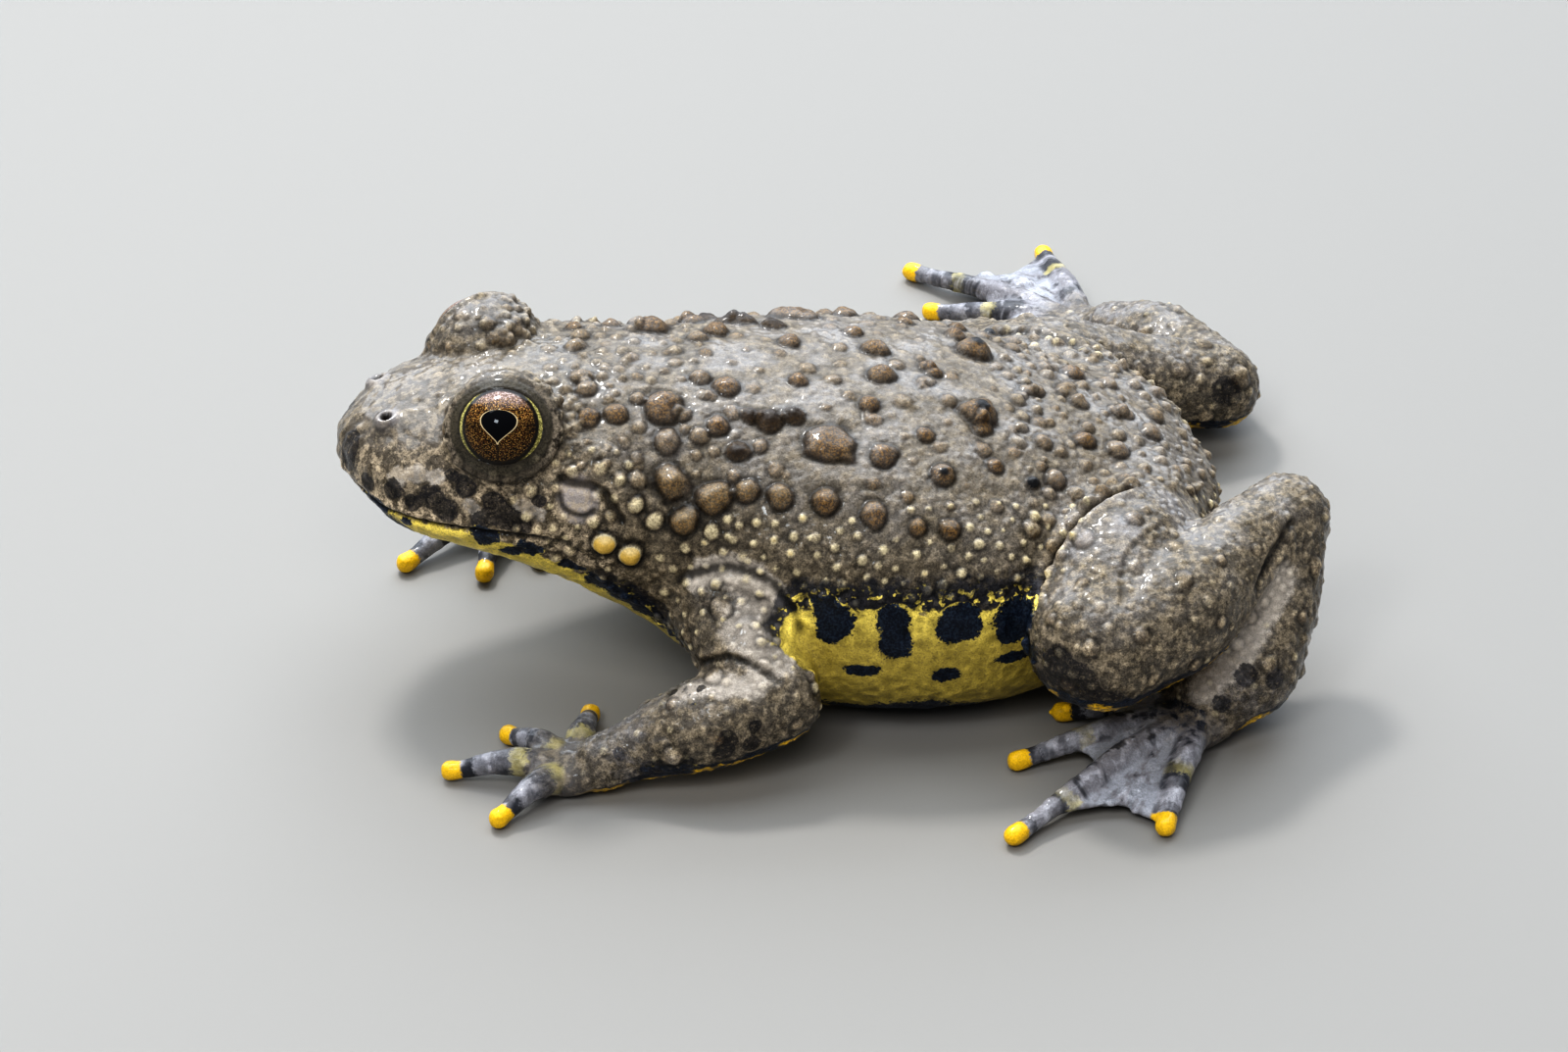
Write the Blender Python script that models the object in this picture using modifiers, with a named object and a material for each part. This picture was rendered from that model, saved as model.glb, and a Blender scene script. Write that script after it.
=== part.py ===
"""A yellow-bellied toad at life size, sitting still with its head raised.

The head looks along -X, the toad's left side faces -Y, and +Z is up. The origin lies on the
floor under the middle of the belly. All sizes below are in millimetres; each finished mesh is
scaled to metres by MM. Angles are in degrees.
"""

import math
import random

import bmesh
import bpy
from mathutils import Matrix, Vector, bvhtree

MM = 0.001
GAP = 0.3  # clearance between neighbouring nodes
FAR = 60.0  # further out than any point of the toad

# The trunk is one loft along x: its lines give the back, the belly and the half width at x.
SNOUT_X = -22.0
RUMP_X = 22.8
SNOUT_Z = 12.9
RUMP_Z = 7.4
SNOUT_ROUND = 4.6  # length over which the loft closes at each end
RUMP_ROUND = 5.2
ROUNDING_ANGLES = (18, 32, 46, 60, 75)
BACK_LINE = {
    -22: 15.2, -19: 15.7, -16.5: 16.25, -14: 16.65, -9: 16.9, -3: 16.5, 3: 15.9, 9: 14.9, 14: 13.3,
    18: 11.8, 23: 10.2,
}
BELLY_LINE = {
    -22: 9.6, -17: 8.9, -12: 7.2, -8: 4.6, -4: 1.4, 0: -0.4, 5: -0.7, 11: -0.5, 16: 0.6, 20: 2.0, 23: 3.4,
}
HALF_WIDTH = {
    -22: 4.7, -18: 6.0, -14: 7.4, -10: 8.2, -6: 8.8, -1: 10.8, 4: 12.1, 9: 12.2, 13: 11.0, 17: 9.2, 23: 6.6,
}
WIDEST_SHARE = 0.44  # height of the widest point, as a share of the section
BACK_SQUARENESS = {-22: 1.95, -16: 2.0, -11: 2.15, 23: 2.15}  # 2 is an ellipse
BELLY_SQUARENESS = 2.5
SECTION_POINTS = 28
SECTION_STEP = 1.5

NECK_X = -8.2  # the neck cut, at the height of the back
NECK_LEAN = 16.0

# Eyes: middle and radius of each bulge, and the way the eye looks. The head is turned a little
# to its left, so the two eyes are not quite mirror images.
EYES = {
    "left": (Vector((-13.8, -4.35, 15.6)), 3.05, Vector((-0.16, -0.78, 0.61)).normalized()),
    "right": (Vector((-14.3, 4.1, 15.1)), 3.05, Vector((-0.45, 0.83, 0.33)).normalized()),
}
EYE_RADIUS = 2.45
EYE_FORWARD = 0.4  # how far the eyeball stands out along its axis
LID_OPENING = 2.05
LID_RIM = 0.4  # thickness of the fleshy rim round the opening
LID_RIM_BALLS = 20
OPENING_REACH = 9.0  # length of the cut that opens the lids

# The fold of skin from behind the eye down towards the shoulder.
EYE_FOLD = [((-11.3, 5.2, 15.4), 0.7), ((-9.3, 6.2, 14.6), 0.8), ((-7.8, 7.3, 13.2), 0.7)]

MOUTH_HEIGHT = 11.7
MOUTH_DROP = 0.9  # how far the corners hang below the front
MOUTH_CORNER_X = -11.0
MOUTH_BOW = 1.7  # how blunt the snout's curve is, seen from above
MOUTH_RADIUS = 0.3  # radius of the groove between the lips
MOUTH_POINTS = 7  # on either side of the snout's tip
NOSTRILS = {-1: Vector((-19.5, -1.7, 15.0)), 1: Vector((-19.7, 2.1, 14.7))}  # by side
NOSTRIL_WAY = Vector((0.6, -0.5, -0.6)).normalized()
NOSTRIL_RADIUS = 0.38
NOSTRIL_DEPTH = 0.9
NOSTRIL_SWELLING = 0.7
NOSTRIL_SINK = Vector((0, 0, -0.35))

# Each limb segment is a chain of (point, radius) pairs from its root to its far joint.
LEGS = {
    "left": {
        "upper_arm": [((-4.0, -6.5, 7.6), 2.9), ((-2.9, -9.6, 6.3), 2.6), ((-1.2, -12.3, 4.4), 2.2)],
        "forearm": [((-1.2, -12.4, 4.1), 2.3), ((-4.6, -12.9, 3.3), 2.4), ((-9.8, -13.3, 1.7), 1.4)],
        "thigh": [((18.0, -3.5, 7.6), 3.7), ((16.3, -8.6, 7.9), 4.2), ((14.4, -13.4, 7.2), 3.3)],
        "shank": [
            ((15.0, -14.0, 6.9), 3.0), ((18.6, -12.0, 7.7), 3.2), ((22.4, -8.6, 8.7), 2.4),
            ((25.2, -6.2, 9.0), 2.3),
        ],
        "tarsus": [
            ((25.0, -6.8, 8.4), 2.2), ((24.1, -8.8, 5.7), 2.5), ((22.5, -10.6, 3.4), 2.9),
            ((21.2, -11.2, 2.4), 2.4),
        ],
    },
    "right": {
        "upper_arm": [((-4.0, 6.5, 7.6), 2.9), ((-3.4, 9.8, 6.0), 2.6), ((-2.2, 12.6, 4.2), 2.2)],
        "forearm": [((-2.3, 12.8, 4.0), 2.3), ((-6.0, 12.9, 3.2), 2.4), ((-11.4, 12.2, 1.7), 1.4)],
        "thigh": [((18.0, 3.5, 7.6), 3.7), ((15.2, 8.8, 7.0), 4.2), ((12.2, 13.6, 5.8), 3.3)],
        "shank": [
            ((12.6, 14.2, 5.5), 3.0), ((16.6, 14.9, 5.0), 3.2), ((21.5, 15.6, 4.0), 2.5),
            ((25.6, 15.9, 3.2), 2.3),
        ],
        "tarsus": [
            ((25.6, 16.4, 3.0), 2.2), ((24.8, 19.0, 2.6), 2.2), ((23.2, 22.0, 2.3), 2.3),
            ((21.2, 24.2, 1.8), 1.8),
        ],
    },
}
ARM = ("upper_arm", "forearm", "hand")
HIND_LEG = ("thigh", "shank", "tarsus", "foot")

# Hands and feet: the palm or sole, then each digit's tip from the innermost to the outermost.
DIGITS = {
    "hand_left": {
        "root": (-9.8, -13.3, 1.5), "palm": (-11.3, -13.0, 1.0),
        "tips": [(-10.1, -7.6), (-14.3, -9.0), (-17.4, -11.8), (-15.3, -16.1)],
    },
    "hand_right": {
        "root": (-11.4, 12.2, 1.5), "palm": (-13.2, 11.4, 1.0),
        "tips": [(-9.4, 8.6), (-11.6, 7.0), (-14.6, 5.8), (-18.6, 7.2)],
    },
    "foot_left": {
        "root": (21.8, -11.4, 1.8), "palm": (20.3, -11.9, 1.2),
        "tips": [(16.6, -9.6), (13.5, -9.9), (10.7, -13.9), (9.7, -20.2), (17.2, -20.2)],
    },
    "foot_right": {
        "root": (21.2, 24.2, 1.8), "palm": (19.9, 25.5, 1.2),
        "tips": [(16.0, 23.4), (13.1, 26.0), (11.8, 29.6), (11.3, 34.0), (18.9, 35.2)],
    },
}
DIGIT_START = 0.8  # from the palm's middle
DIGIT_RADIUS = 0.85  # at the root
TIP_RADIUS = 0.6
DIGIT_BEND = 0.55  # where the digit is highest, as a share of its length
DIGIT_ARCH = 0.45  # how far a digit's middle rises above the line from palm to tip
TIP_HEIGHT = 0.5
PALM_RADII = {"hand": (2.1, 1.7, 1.1), "foot": (2.6, 2.1, 1.3)}
WRIST_RADII = (1.45, 1.3, 1.0)  # at the root, halfway, and in the palm
WEB_THICKNESS = 0.6
WEB_REACH = [(0.45, 0.40), (0.45, 0.40), (0.62, 0.50), (0.72, 0.92)]  # shares of a pair of toes
WEB_SAG = 0.16  # how far the web's free edge hollows, as a share of its length
WEB_STEPS = 8

# Rows of warts along each flank: degrees above the side, first x, last x, count and size.
WART_SIZES = {"small": 0.58, "middling": 0.70, "large": 1.05}
WART_ROWS = [
    (80, -2.7, 15.4, 4, "small"), (62, -9.6, 15.3, 7, "middling"), (46, -8.9, 13.3, 7, "middling"),
    (31, -5.9, 7.7, 6, "middling"), (17, -7.6, -5.3, 2, "small"), (0, -9.3, -7.9, 2, "small"),
]
LARGE_WARTS = [(-6.0, 59), (2.1, 49), (10.0, 66)]  # (x, degrees above the side)
WART_STRAY = 0.35  # along x
WART_TURN = 3.0
WART_SPREAD = 0.12  # share by which a wart's radius varies
WART_SINK = 0.35  # share of its radius that a wart's centre lies below the skin
WART_FACETS = 8
WART_SEED = 11

# Resolution of the fused flesh.
VOXEL = 0.35
DIGIT_VOXEL = 0.24
LIMB_SMOOTHING = 6
FINE_SMOOTHING = 3
FLESH_TRIANGLES = {
    "trunk": 3300, "upper_arm": 240, "forearm": 320, "thigh": 420, "shank": 420, "tarsus": 280,
    "hand": 720, "foot": 1000,
}

SKIN_FINISH = ((0.20, 0.175, 0.135), 0.45)  # colour and roughness
EYE_FINISH = ((0.35, 0.19, 0.06), 0.1)


def clear_scene():
    for obj in list(bpy.data.objects):
        bpy.data.objects.remove(obj, do_unlink=True)


def along(line, x):
    """The value at x of the smooth curve through a line's knots."""
    xs = sorted(line)
    x = min(max(x, xs[0]), xs[-1])
    i = max(k for k in range(len(xs) - 1) if xs[k] <= x)
    a, b = xs[i], xs[i + 1]

    def slope(k):
        low, high = xs[max(k - 1, 0)], xs[min(k + 1, len(xs) - 1)]
        return (line[high] - line[low]) / (high - low)

    t = (x - a) / (b - a)
    rise, fall = 3 * t * t - 2 * t**3, t**3 - t * t
    start = t - 2 * t * t + t**3
    return line[a] * (1 - rise) + line[b] * rise + (b - a) * (slope(i) * start + slope(i + 1) * fall)


def object_from(name, mesh):
    obj = bpy.data.objects.new(name, mesh)
    bpy.context.scene.collection.objects.link(obj)
    return obj


def object_of(name, bm):
    """The object made of a finished bmesh, which is freed."""
    mesh = bpy.data.meshes.new(name)
    bm.to_mesh(mesh)
    bm.free()
    return object_from(name, mesh)


def remove(obj):
    bpy.data.objects.remove(obj, do_unlink=True)


def trunk_section(x):
    """One closed ring of the trunk's loft at x."""
    closing = 1.0
    centre_z = None
    for end_x, end_z, length in ((SNOUT_X, SNOUT_Z, SNOUT_ROUND), (RUMP_X, RUMP_Z, RUMP_ROUND)):
        depth = abs(x - end_x) / length
        if depth < 1:
            closing, centre_z = math.sqrt(1 - (1 - depth) ** 2), end_z
    top, bottom = along(BACK_LINE, x), along(BELLY_LINE, x)
    if centre_z is not None:
        top = centre_z + (top - centre_z) * closing
        bottom = centre_z + (bottom - centre_z) * closing
    half_width = along(HALF_WIDTH, x) * closing
    widest = bottom + WIDEST_SHARE * (top - bottom)
    ring = []
    for k in range(SECTION_POINTS):
        angle = 2 * math.pi * k / SECTION_POINTS
        c, s = math.cos(angle), math.sin(angle)
        power = 2 / (along(BACK_SQUARENESS, x) if s > 0 else BELLY_SQUARENESS)
        y = half_width * math.copysign(abs(c) ** power, c)
        reach = top - widest if s > 0 else widest - bottom
        ring.append((x, y, widest + reach * math.copysign(abs(s) ** power, s)))
    return ring


def loft(name, rings, first, last):
    """A closed mesh through rings of equal length, with a point at either end."""
    bm = bmesh.new()
    rows = [[bm.verts.new(p) for p in ring] for ring in rings]
    ends = bm.verts.new(first), bm.verts.new(last)
    count = len(rows[0])
    for k in range(count):
        n = (k + 1) % count
        bm.faces.new((ends[0], rows[0][k], rows[0][n]))
        bm.faces.new((ends[1], rows[-1][n], rows[-1][k]))
        for low, high in zip(rows, rows[1:]):
            bm.faces.new((low[k], high[k], high[n], low[n]))
    bmesh.ops.recalc_face_normals(bm, faces=bm.faces)
    return object_of(name, bm)


def trunk_loft():
    rounding = [1 - math.cos(math.radians(a)) for a in ROUNDING_ANGLES]
    stations = [SNOUT_X + SNOUT_ROUND * share for share in rounding]
    x = SNOUT_X + SNOUT_ROUND
    while x < RUMP_X - RUMP_ROUND:
        stations.append(x)
        x += SECTION_STEP
    stations += [RUMP_X - RUMP_ROUND * share for share in reversed(rounding)]
    rings = [trunk_section(x) for x in stations]
    return loft("trunk_loft", rings, (SNOUT_X, 0, SNOUT_Z), (RUMP_X, 0, RUMP_Z))


def ball(centre, radii, turn=None, segments=24):
    """An ellipsoid; turn is the rotation matrix of its own axes."""
    if not hasattr(radii, "__len__"):
        radii = (radii,) * 3
    bm = bmesh.new()
    bmesh.ops.create_uvsphere(bm, u_segments=segments, v_segments=segments // 2, radius=1)
    turned = turn.to_4x4() if turn else Matrix()
    bm.transform(Matrix.Translation(centre) @ turned @ Matrix.Diagonal((*radii, 1)))
    return object_of("ball", bm)


def spline_through(points, radii, steps=8):
    """Points and radii on a smooth curve through the given ones."""
    points = [Vector(p) for p in points]
    padded = [2 * points[0] - points[1], *points, 2 * points[-1] - points[-2]]
    widths = [radii[0], *radii, radii[-1]]
    found = []
    for i in range(1, len(points)):
        for step in range(steps + (i == len(points) - 1)):
            t = step / steps
            a, b, c, d = padded[i - 1 : i + 3]
            linear, square = (c - a) * t, (2 * a - 5 * b + 4 * c - d) * t**2
            place = 0.5 * (2 * b + linear + square + (3 * b - a - 3 * c + d) * t**3)
            ease = t * t * (3 - 2 * t)
            found.append((place, widths[i] * (1 - ease) + widths[i + 1] * ease))
    return found


def tube(chain):
    """A round tube of varying radius through (point, radius) pairs, with rounded ends."""
    path = spline_through([p for p, _ in chain], [r for _, r in chain])
    curve = bpy.data.curves.new("tube", "CURVE")
    curve.dimensions = "3D"
    curve.bevel_depth = 1.0
    curve.bevel_resolution = 4
    curve.use_fill_caps = True
    spline = curve.splines.new("POLY")
    spline.points.add(len(path) - 1)
    for point, (place, radius) in zip(spline.points, path):
        point.co = (*place, 1)
        point.radius = radius
    obj = object_from("tube", curve)
    mesh = bpy.data.meshes.new_from_object(obj.evaluated_get(bpy.context.evaluated_depsgraph_get()))
    remove(obj)
    bm = bmesh.new()
    bm.from_mesh(mesh)
    bmesh.ops.remove_doubles(bm, verts=bm.verts, dist=1e-4)
    ends = [ball(place, radius) for place, radius in (path[0], path[-1])]
    return [object_of("tube", bm), *ends]


def join(name, pieces):
    bm = bmesh.new()
    for piece in pieces:
        bm.from_mesh(piece.data)
        remove(piece)
    return object_of(name, bm)


def apply_modifiers(obj):
    graph = bpy.context.evaluated_depsgraph_get()
    mesh = bpy.data.meshes.new_from_object(obj.evaluated_get(graph))
    obj.modifiers.clear()
    obj.data = mesh


def fuse(name, pieces, triangles, voxel=VOXEL, smoothing=LIMB_SMOOTHING):
    """Overlapping pieces made one smooth closed surface of about that many triangles."""
    obj = join(name, pieces)
    remesh = obj.modifiers.new("Fuse", "REMESH")
    remesh.mode = "VOXEL"
    remesh.voxel_size = voxel
    smooth = obj.modifiers.new("Smooth", "SMOOTH")
    smooth.factor = 0.5
    smooth.iterations = smoothing
    apply_modifiers(obj)
    thin = obj.modifiers.new("Decimate", "DECIMATE")
    thin.ratio = min(1.0, triangles / (2 * len(obj.data.polygons)))
    apply_modifiers(obj)
    return keep_largest(obj)


def keep_largest(obj):
    """Drops every closed surface of the object but the largest."""
    bm = bmesh.new()
    bm.from_mesh(obj.data)
    left = set(bm.verts)
    islands = []
    while left:
        stack, island = [left.pop()], set()
        while stack:
            vert = stack.pop()
            island.add(vert)
            near = {edge.other_vert(vert) for edge in vert.link_edges} & left
            left -= near
            stack.extend(near)
        islands.append(island)
    islands.sort(key=len)
    bmesh.ops.delete(bm, geom=[v for island in islands[:-1] for v in island], context="VERTS")
    bm.to_mesh(obj.data)
    bm.free()
    return obj


def combine(obj, others, operation):
    """The object joined with, or cut by, closed meshes, which are then removed."""
    helpers = bpy.data.collections.new("helpers")
    bpy.context.scene.collection.children.link(helpers)
    for other in others:
        helpers.objects.link(other)
    boolean = obj.modifiers.new("Boolean", "BOOLEAN")
    boolean.operation = operation
    boolean.operand_type = "COLLECTION"
    boolean.collection = helpers
    boolean.solver = "EXACT"
    apply_modifiers(obj)
    for other in others:
        remove(other)
    bpy.data.collections.remove(helpers)
    return keep_largest(obj)


def grown(obj, by=GAP):
    """A copy of the object, thicker by the gap all round, to cut its neighbour with."""
    copy = object_from("grown", obj.data.copy())
    swell = copy.modifiers.new("Swell", "DISPLACE")
    swell.strength = by
    swell.mid_level = 0.0
    apply_modifiers(copy)
    return copy


def block(low, high):
    bm = bmesh.new()
    bmesh.ops.create_cube(bm, size=1)
    low, high = Vector(low), Vector(high)
    bm.transform(Matrix.Translation((low + high) / 2) @ Matrix.Diagonal((*(high - low), 1)))
    return object_of("block", bm)


def floor_block():
    return block((-FAR, -FAR, -FAR), (FAR, FAR, 0))


def surface_of(obj):
    bm = bmesh.new()
    bm.from_mesh(obj.data)
    tree = bvhtree.BVHTree.FromBMesh(bm)
    bm.free()
    return tree


def from_outside(surface, middle, way):
    """Where a ray that comes in towards the middle, against the given way, meets the surface."""
    place, normal, _, _ = surface.ray_cast(middle + way * FAR, -way)
    return place, normal


def flipped(point, side):
    """A point or a direction of the right flank, or its mirror image when side is -1."""
    return Vector((point[0], side * point[1], point[2]))


def cylinder(start, end, radius, segments=24):
    axis = end - start
    bm = bmesh.new()
    bmesh.ops.create_cone(
        bm, cap_ends=True, segments=segments, radius1=radius, radius2=radius, depth=axis.length
    )
    turn = axis.to_track_quat("Z", "Y").to_matrix().to_4x4()
    bm.transform(Matrix.Translation((start + end) / 2) @ turn)
    return object_of("cylinder", bm)


def lid_rim(centre, bulge, axis):
    """The fleshy rim round an eye's opening, as a ring of overlapping balls."""
    radius = LID_OPENING + LID_RIM / 2
    middle = centre + axis * math.sqrt(bulge**2 - radius**2)
    turn = axis.to_track_quat("Z", "Y").to_matrix()
    around = [2 * math.pi * k / LID_RIM_BALLS for k in range(LID_RIM_BALLS)]
    points = [middle + turn @ Vector((math.cos(a), math.sin(a), 0)) * radius for a in around]
    return [ball(point, LID_RIM, segments=10) for point in points]


def make_trunk():
    """Head and torso in one, with the eye bulges, lid rims, eye folds and nostril swellings."""
    pieces = [trunk_loft()]
    for centre, bulge, axis in EYES.values():
        pieces.append(ball(centre, bulge))
        pieces += lid_rim(centre, bulge, axis)
    for side, nostril in NOSTRILS.items():
        pieces += tube([(flipped(place, side), radius) for place, radius in EYE_FOLD])
        pieces.append(ball(nostril + NOSTRIL_SINK, NOSTRIL_SWELLING))
    return fuse("trunk", pieces, FLESH_TRIANGLES["trunk"], smoothing=FINE_SMOOTHING)


def wart_spots():
    """(x, degrees above the side, radius) of each wart of one flank, the large ones first."""
    spots = [(x, angle, WART_SIZES["large"]) for x, angle in LARGE_WARTS]
    for angle, first, last, count, size in WART_ROWS:
        step = (last - first) / (count - 1)
        spots += [(first + step * k, angle, WART_SIZES[size]) for k in range(count)]
    return spots


def wart_places(surface):
    """Centre and radius of each wart's dome; one that would touch an earlier one is left out."""
    rng = random.Random(WART_SEED)
    found = []
    for side in (-1, 1):
        for x, angle, size in wart_spots():
            x += rng.uniform(-WART_STRAY, WART_STRAY)
            turn = math.radians(angle + rng.uniform(-WART_TURN, WART_TURN))
            size *= 1 + rng.uniform(-WART_SPREAD, WART_SPREAD)
            middle = Vector((x, 0, (along(BACK_LINE, x) + along(BELLY_LINE, x)) / 2))
            way = Vector((0, side * math.cos(turn), math.sin(turn)))
            place, normal = from_outside(surface, middle, way)
            centre = place - normal * size * WART_SINK
            if all((centre - other).length > size + radius for other, radius in found):
                found.append((centre, size))
    return found


def wart_balls(warts, extra=0.0):
    return [ball(place, size + extra, segments=WART_FACETS) for place, size in warts]


def mouth_groove(surface):
    """A tube along the line where the lips meet, from one corner round the snout to the other."""
    points = []
    for k in range(-MOUTH_POINTS, MOUTH_POINTS + 1):
        share = abs(k) / MOUTH_POINTS
        turn = math.radians(90 * k / MOUTH_POINTS)
        x = SNOUT_X + (MOUTH_CORNER_X - SNOUT_X) * share**MOUTH_BOW
        height = MOUTH_HEIGHT - MOUTH_DROP * share**3
        middle = Vector((x + SNOUT_ROUND * (1 - share), 0, height))
        place, _ = from_outside(surface, middle, Vector((-math.cos(turn), math.sin(turn), 0)))
        points.append((place, MOUTH_RADIUS))
    groove, *ends = tube(points)
    for end in ends:
        remove(end)
    return groove


def make_digits(name, spec):
    """A hand or a foot: palm, digits and, on a foot, the web between its toes."""
    kind = name.split("_")[0]
    root, palm = Vector(spec["root"]), Vector(spec["palm"])
    turn = (palm - root).normalized().to_track_quat("X", "Z").to_matrix()
    pieces = [ball(palm, PALM_RADII[kind], turn)]
    pieces += tube(list(zip((root, (root + palm) / 2, palm), WRIST_RADII)))
    lines = []
    for tip_x, tip_y in spec["tips"]:
        tip = Vector((tip_x, tip_y, TIP_HEIGHT))
        start = palm + (tip - palm).normalized() * DIGIT_START
        bend = start.lerp(tip, DIGIT_BEND) + Vector((0, 0, DIGIT_ARCH))
        places, radii = (start, bend, tip), (DIGIT_RADIUS, (DIGIT_RADIUS + TIP_RADIUS) / 2, TIP_RADIUS)
        pieces += tube(list(zip(places, radii)))
        lines.append([place for place, _ in spline_through(places, radii)])
    if kind == "foot":
        pieces += [web_between(a, b, reach) for a, b, reach in zip(lines, lines[1:], WEB_REACH)]
    return fuse(name, pieces, FLESH_TRIANGLES[kind], voxel=DIGIT_VOXEL, smoothing=FINE_SMOOTHING)


def web_between(first, second, reach):
    """A thin sheet between two toes, hollowed along its free edge."""
    def on_toe(line, share):
        place = share * (len(line) - 1)
        low = min(int(place), len(line) - 2)
        return line[low].lerp(line[low + 1], place - low)

    bm = bmesh.new()
    grid = []
    for k in range(WEB_STEPS + 1):
        share = k / WEB_STEPS
        row = []
        for across in range(WEB_STEPS + 1):
            s = across / WEB_STEPS
            hollow = share * (1 - WEB_SAG * share * 4 * s * (1 - s))
            here = on_toe(first, hollow * reach[0]).lerp(on_toe(second, hollow * reach[1]), s)
            row.append(bm.verts.new(here))
        grid.append(row)
    for low, high in zip(grid, grid[1:]):
        for k in range(WEB_STEPS):
            bm.faces.new((low[k], low[k + 1], high[k + 1], high[k]))
    bmesh.ops.recalc_face_normals(bm, faces=bm.faces)
    obj = object_of("web", bm)
    solidify = obj.modifiers.new("Solidify", "SOLIDIFY")
    solidify.thickness = WEB_THICKNESS
    solidify.offset = 0
    apply_modifiers(obj)
    return obj


def half_space(sign):
    """Everything on one side of the neck cut, for parting the head from the torso."""
    span = (-GAP / 2, FAR) if sign > 0 else (-FAR, GAP / 2)
    piece = block((span[0], -FAR, -FAR), (span[1], FAR, FAR))
    lean = Matrix.Rotation(math.radians(NECK_LEAN), 4, "Y")
    piece.data.transform(Matrix.Translation((NECK_X, 0, along(BACK_LINE, NECK_X))) @ lean)
    return piece


def copy_of(obj, name="copy"):
    return object_from(name, obj.data.copy())


def make_limbs(side, clearance):
    """One side's limb segments, hands and feet, each cut clear of the trunk and the floor."""
    parts = {name: fuse(name, tube(chain), FLESH_TRIANGLES[name]) for name, chain in LEGS[side].items()}
    for name in ("hand", "foot"):
        parts[name] = make_digits(f"{name}_{side}", DIGITS[f"{name}_{side}"])
    for chain in (ARM, HIND_LEG):
        before = [clearance]
        for name in chain:
            combine(parts[name], [*map(copy_of, before), floor_block()], "DIFFERENCE")
            before.append(grown(parts[name]))
        for cutter in before[1:]:
            remove(cutter)
    return {f"{name}_{side}": obj for name, obj in parts.items()}


def eye_places():
    """The middle of each eyeball, by side."""
    return {side: centre + axis * EYE_FORWARD for side, (centre, _, axis) in EYES.items()}


def head_cuts(surface):
    """What is taken out of the head: the mouth line, the torso's side, the sockets and nostrils."""
    cuts = [mouth_groove(surface), half_space(1)]
    for side, place in eye_places().items():
        cuts.append(ball(place, EYE_RADIUS + GAP, segments=18))
        cuts.append(cylinder(place, place + EYES[side][2] * OPENING_REACH, LID_OPENING))
    for side, nostril in NOSTRILS.items():
        way = flipped(NOSTRIL_WAY, side) * NOSTRIL_DEPTH
        cuts.append(cylinder(nostril - 2 * way, nostril + way, NOSTRIL_RADIUS, 10))
    return cuts


def material(name, colour, roughness):
    mat = bpy.data.materials.new(name)
    mat.use_nodes = True
    shader = mat.node_tree.nodes["Principled BSDF"]
    shader.inputs["Base Color"].default_value = (*colour, 1)
    shader.inputs["Roughness"].default_value = roughness
    shader.inputs["Metallic"].default_value = 0
    mat.diffuse_color = (*colour, 1)
    return mat


def finish(nodes):
    """Scales each node to metres, gives it a finish and files it in the toad's collection."""
    toad = bpy.data.collections.new("yellow_bellied_toad")
    bpy.context.scene.collection.children.link(toad)
    for name, obj in nodes.items():
        obj.name = name
        obj.data.name = name
        obj.data.transform(Matrix.Scale(MM, 4))
        obj.data.materials.clear()
        is_eye = name.startswith("eye")
        obj.data.materials.append(material(f"{name}_finish", *(EYE_FINISH if is_eye else SKIN_FINISH)))
        obj.data.shade_smooth()
        bpy.context.scene.collection.objects.unlink(obj)
        toad.objects.link(obj)


def main():
    clear_scene()
    trunk = make_trunk()
    surface = surface_of(trunk)
    warts = wart_places(surface)
    clearance = grown(trunk)
    combine(clearance, wart_balls(warts, GAP), "UNION")
    nodes = {**make_limbs("left", clearance), **make_limbs("right", clearance)}
    remove(clearance)

    combine(trunk, wart_balls(warts), "UNION")
    nodes["torso"] = combine(copy_of(trunk), [half_space(-1), floor_block()], "DIFFERENCE")
    for cut in head_cuts(surface):
        combine(trunk, [cut], "DIFFERENCE")
    nodes["head"] = trunk
    for side, place in eye_places().items():
        nodes[f"eye_{side}"] = ball(place, EYE_RADIUS, segments=20)
    finish(nodes)


main()
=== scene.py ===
import itertools
import math
import random
import time
from types import SimpleNamespace

import bmesh
import bpy
import numpy as np
from mathutils import Matrix, Vector, bvhtree, kdtree


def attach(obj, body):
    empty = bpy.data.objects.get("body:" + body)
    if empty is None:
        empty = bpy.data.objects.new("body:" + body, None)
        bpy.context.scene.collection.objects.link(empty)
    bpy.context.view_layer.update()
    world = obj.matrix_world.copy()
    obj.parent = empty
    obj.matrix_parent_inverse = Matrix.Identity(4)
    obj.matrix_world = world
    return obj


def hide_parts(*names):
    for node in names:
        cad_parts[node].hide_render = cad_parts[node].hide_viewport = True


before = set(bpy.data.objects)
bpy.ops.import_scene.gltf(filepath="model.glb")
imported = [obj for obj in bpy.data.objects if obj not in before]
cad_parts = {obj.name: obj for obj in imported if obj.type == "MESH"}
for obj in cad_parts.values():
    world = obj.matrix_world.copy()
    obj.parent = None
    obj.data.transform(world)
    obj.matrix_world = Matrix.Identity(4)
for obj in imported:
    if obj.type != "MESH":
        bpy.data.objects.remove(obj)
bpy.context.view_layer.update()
mm = 0.001  # shapes are worked out in millimetres and brought to metres at the end
sides = (-1, 1)  # the toad's left and right
far = 99.0  # mm, the distance given to places out of reach
started = time.time()


def report(stage):
    print(f"[{time.time() - started:5.1f} s] {stage}")


def objectFrom(name, data):
    obj = bpy.data.objects.new(name, data)
    bpy.context.scene.collection.objects.link(obj)
    return obj


# node helpers

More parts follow.
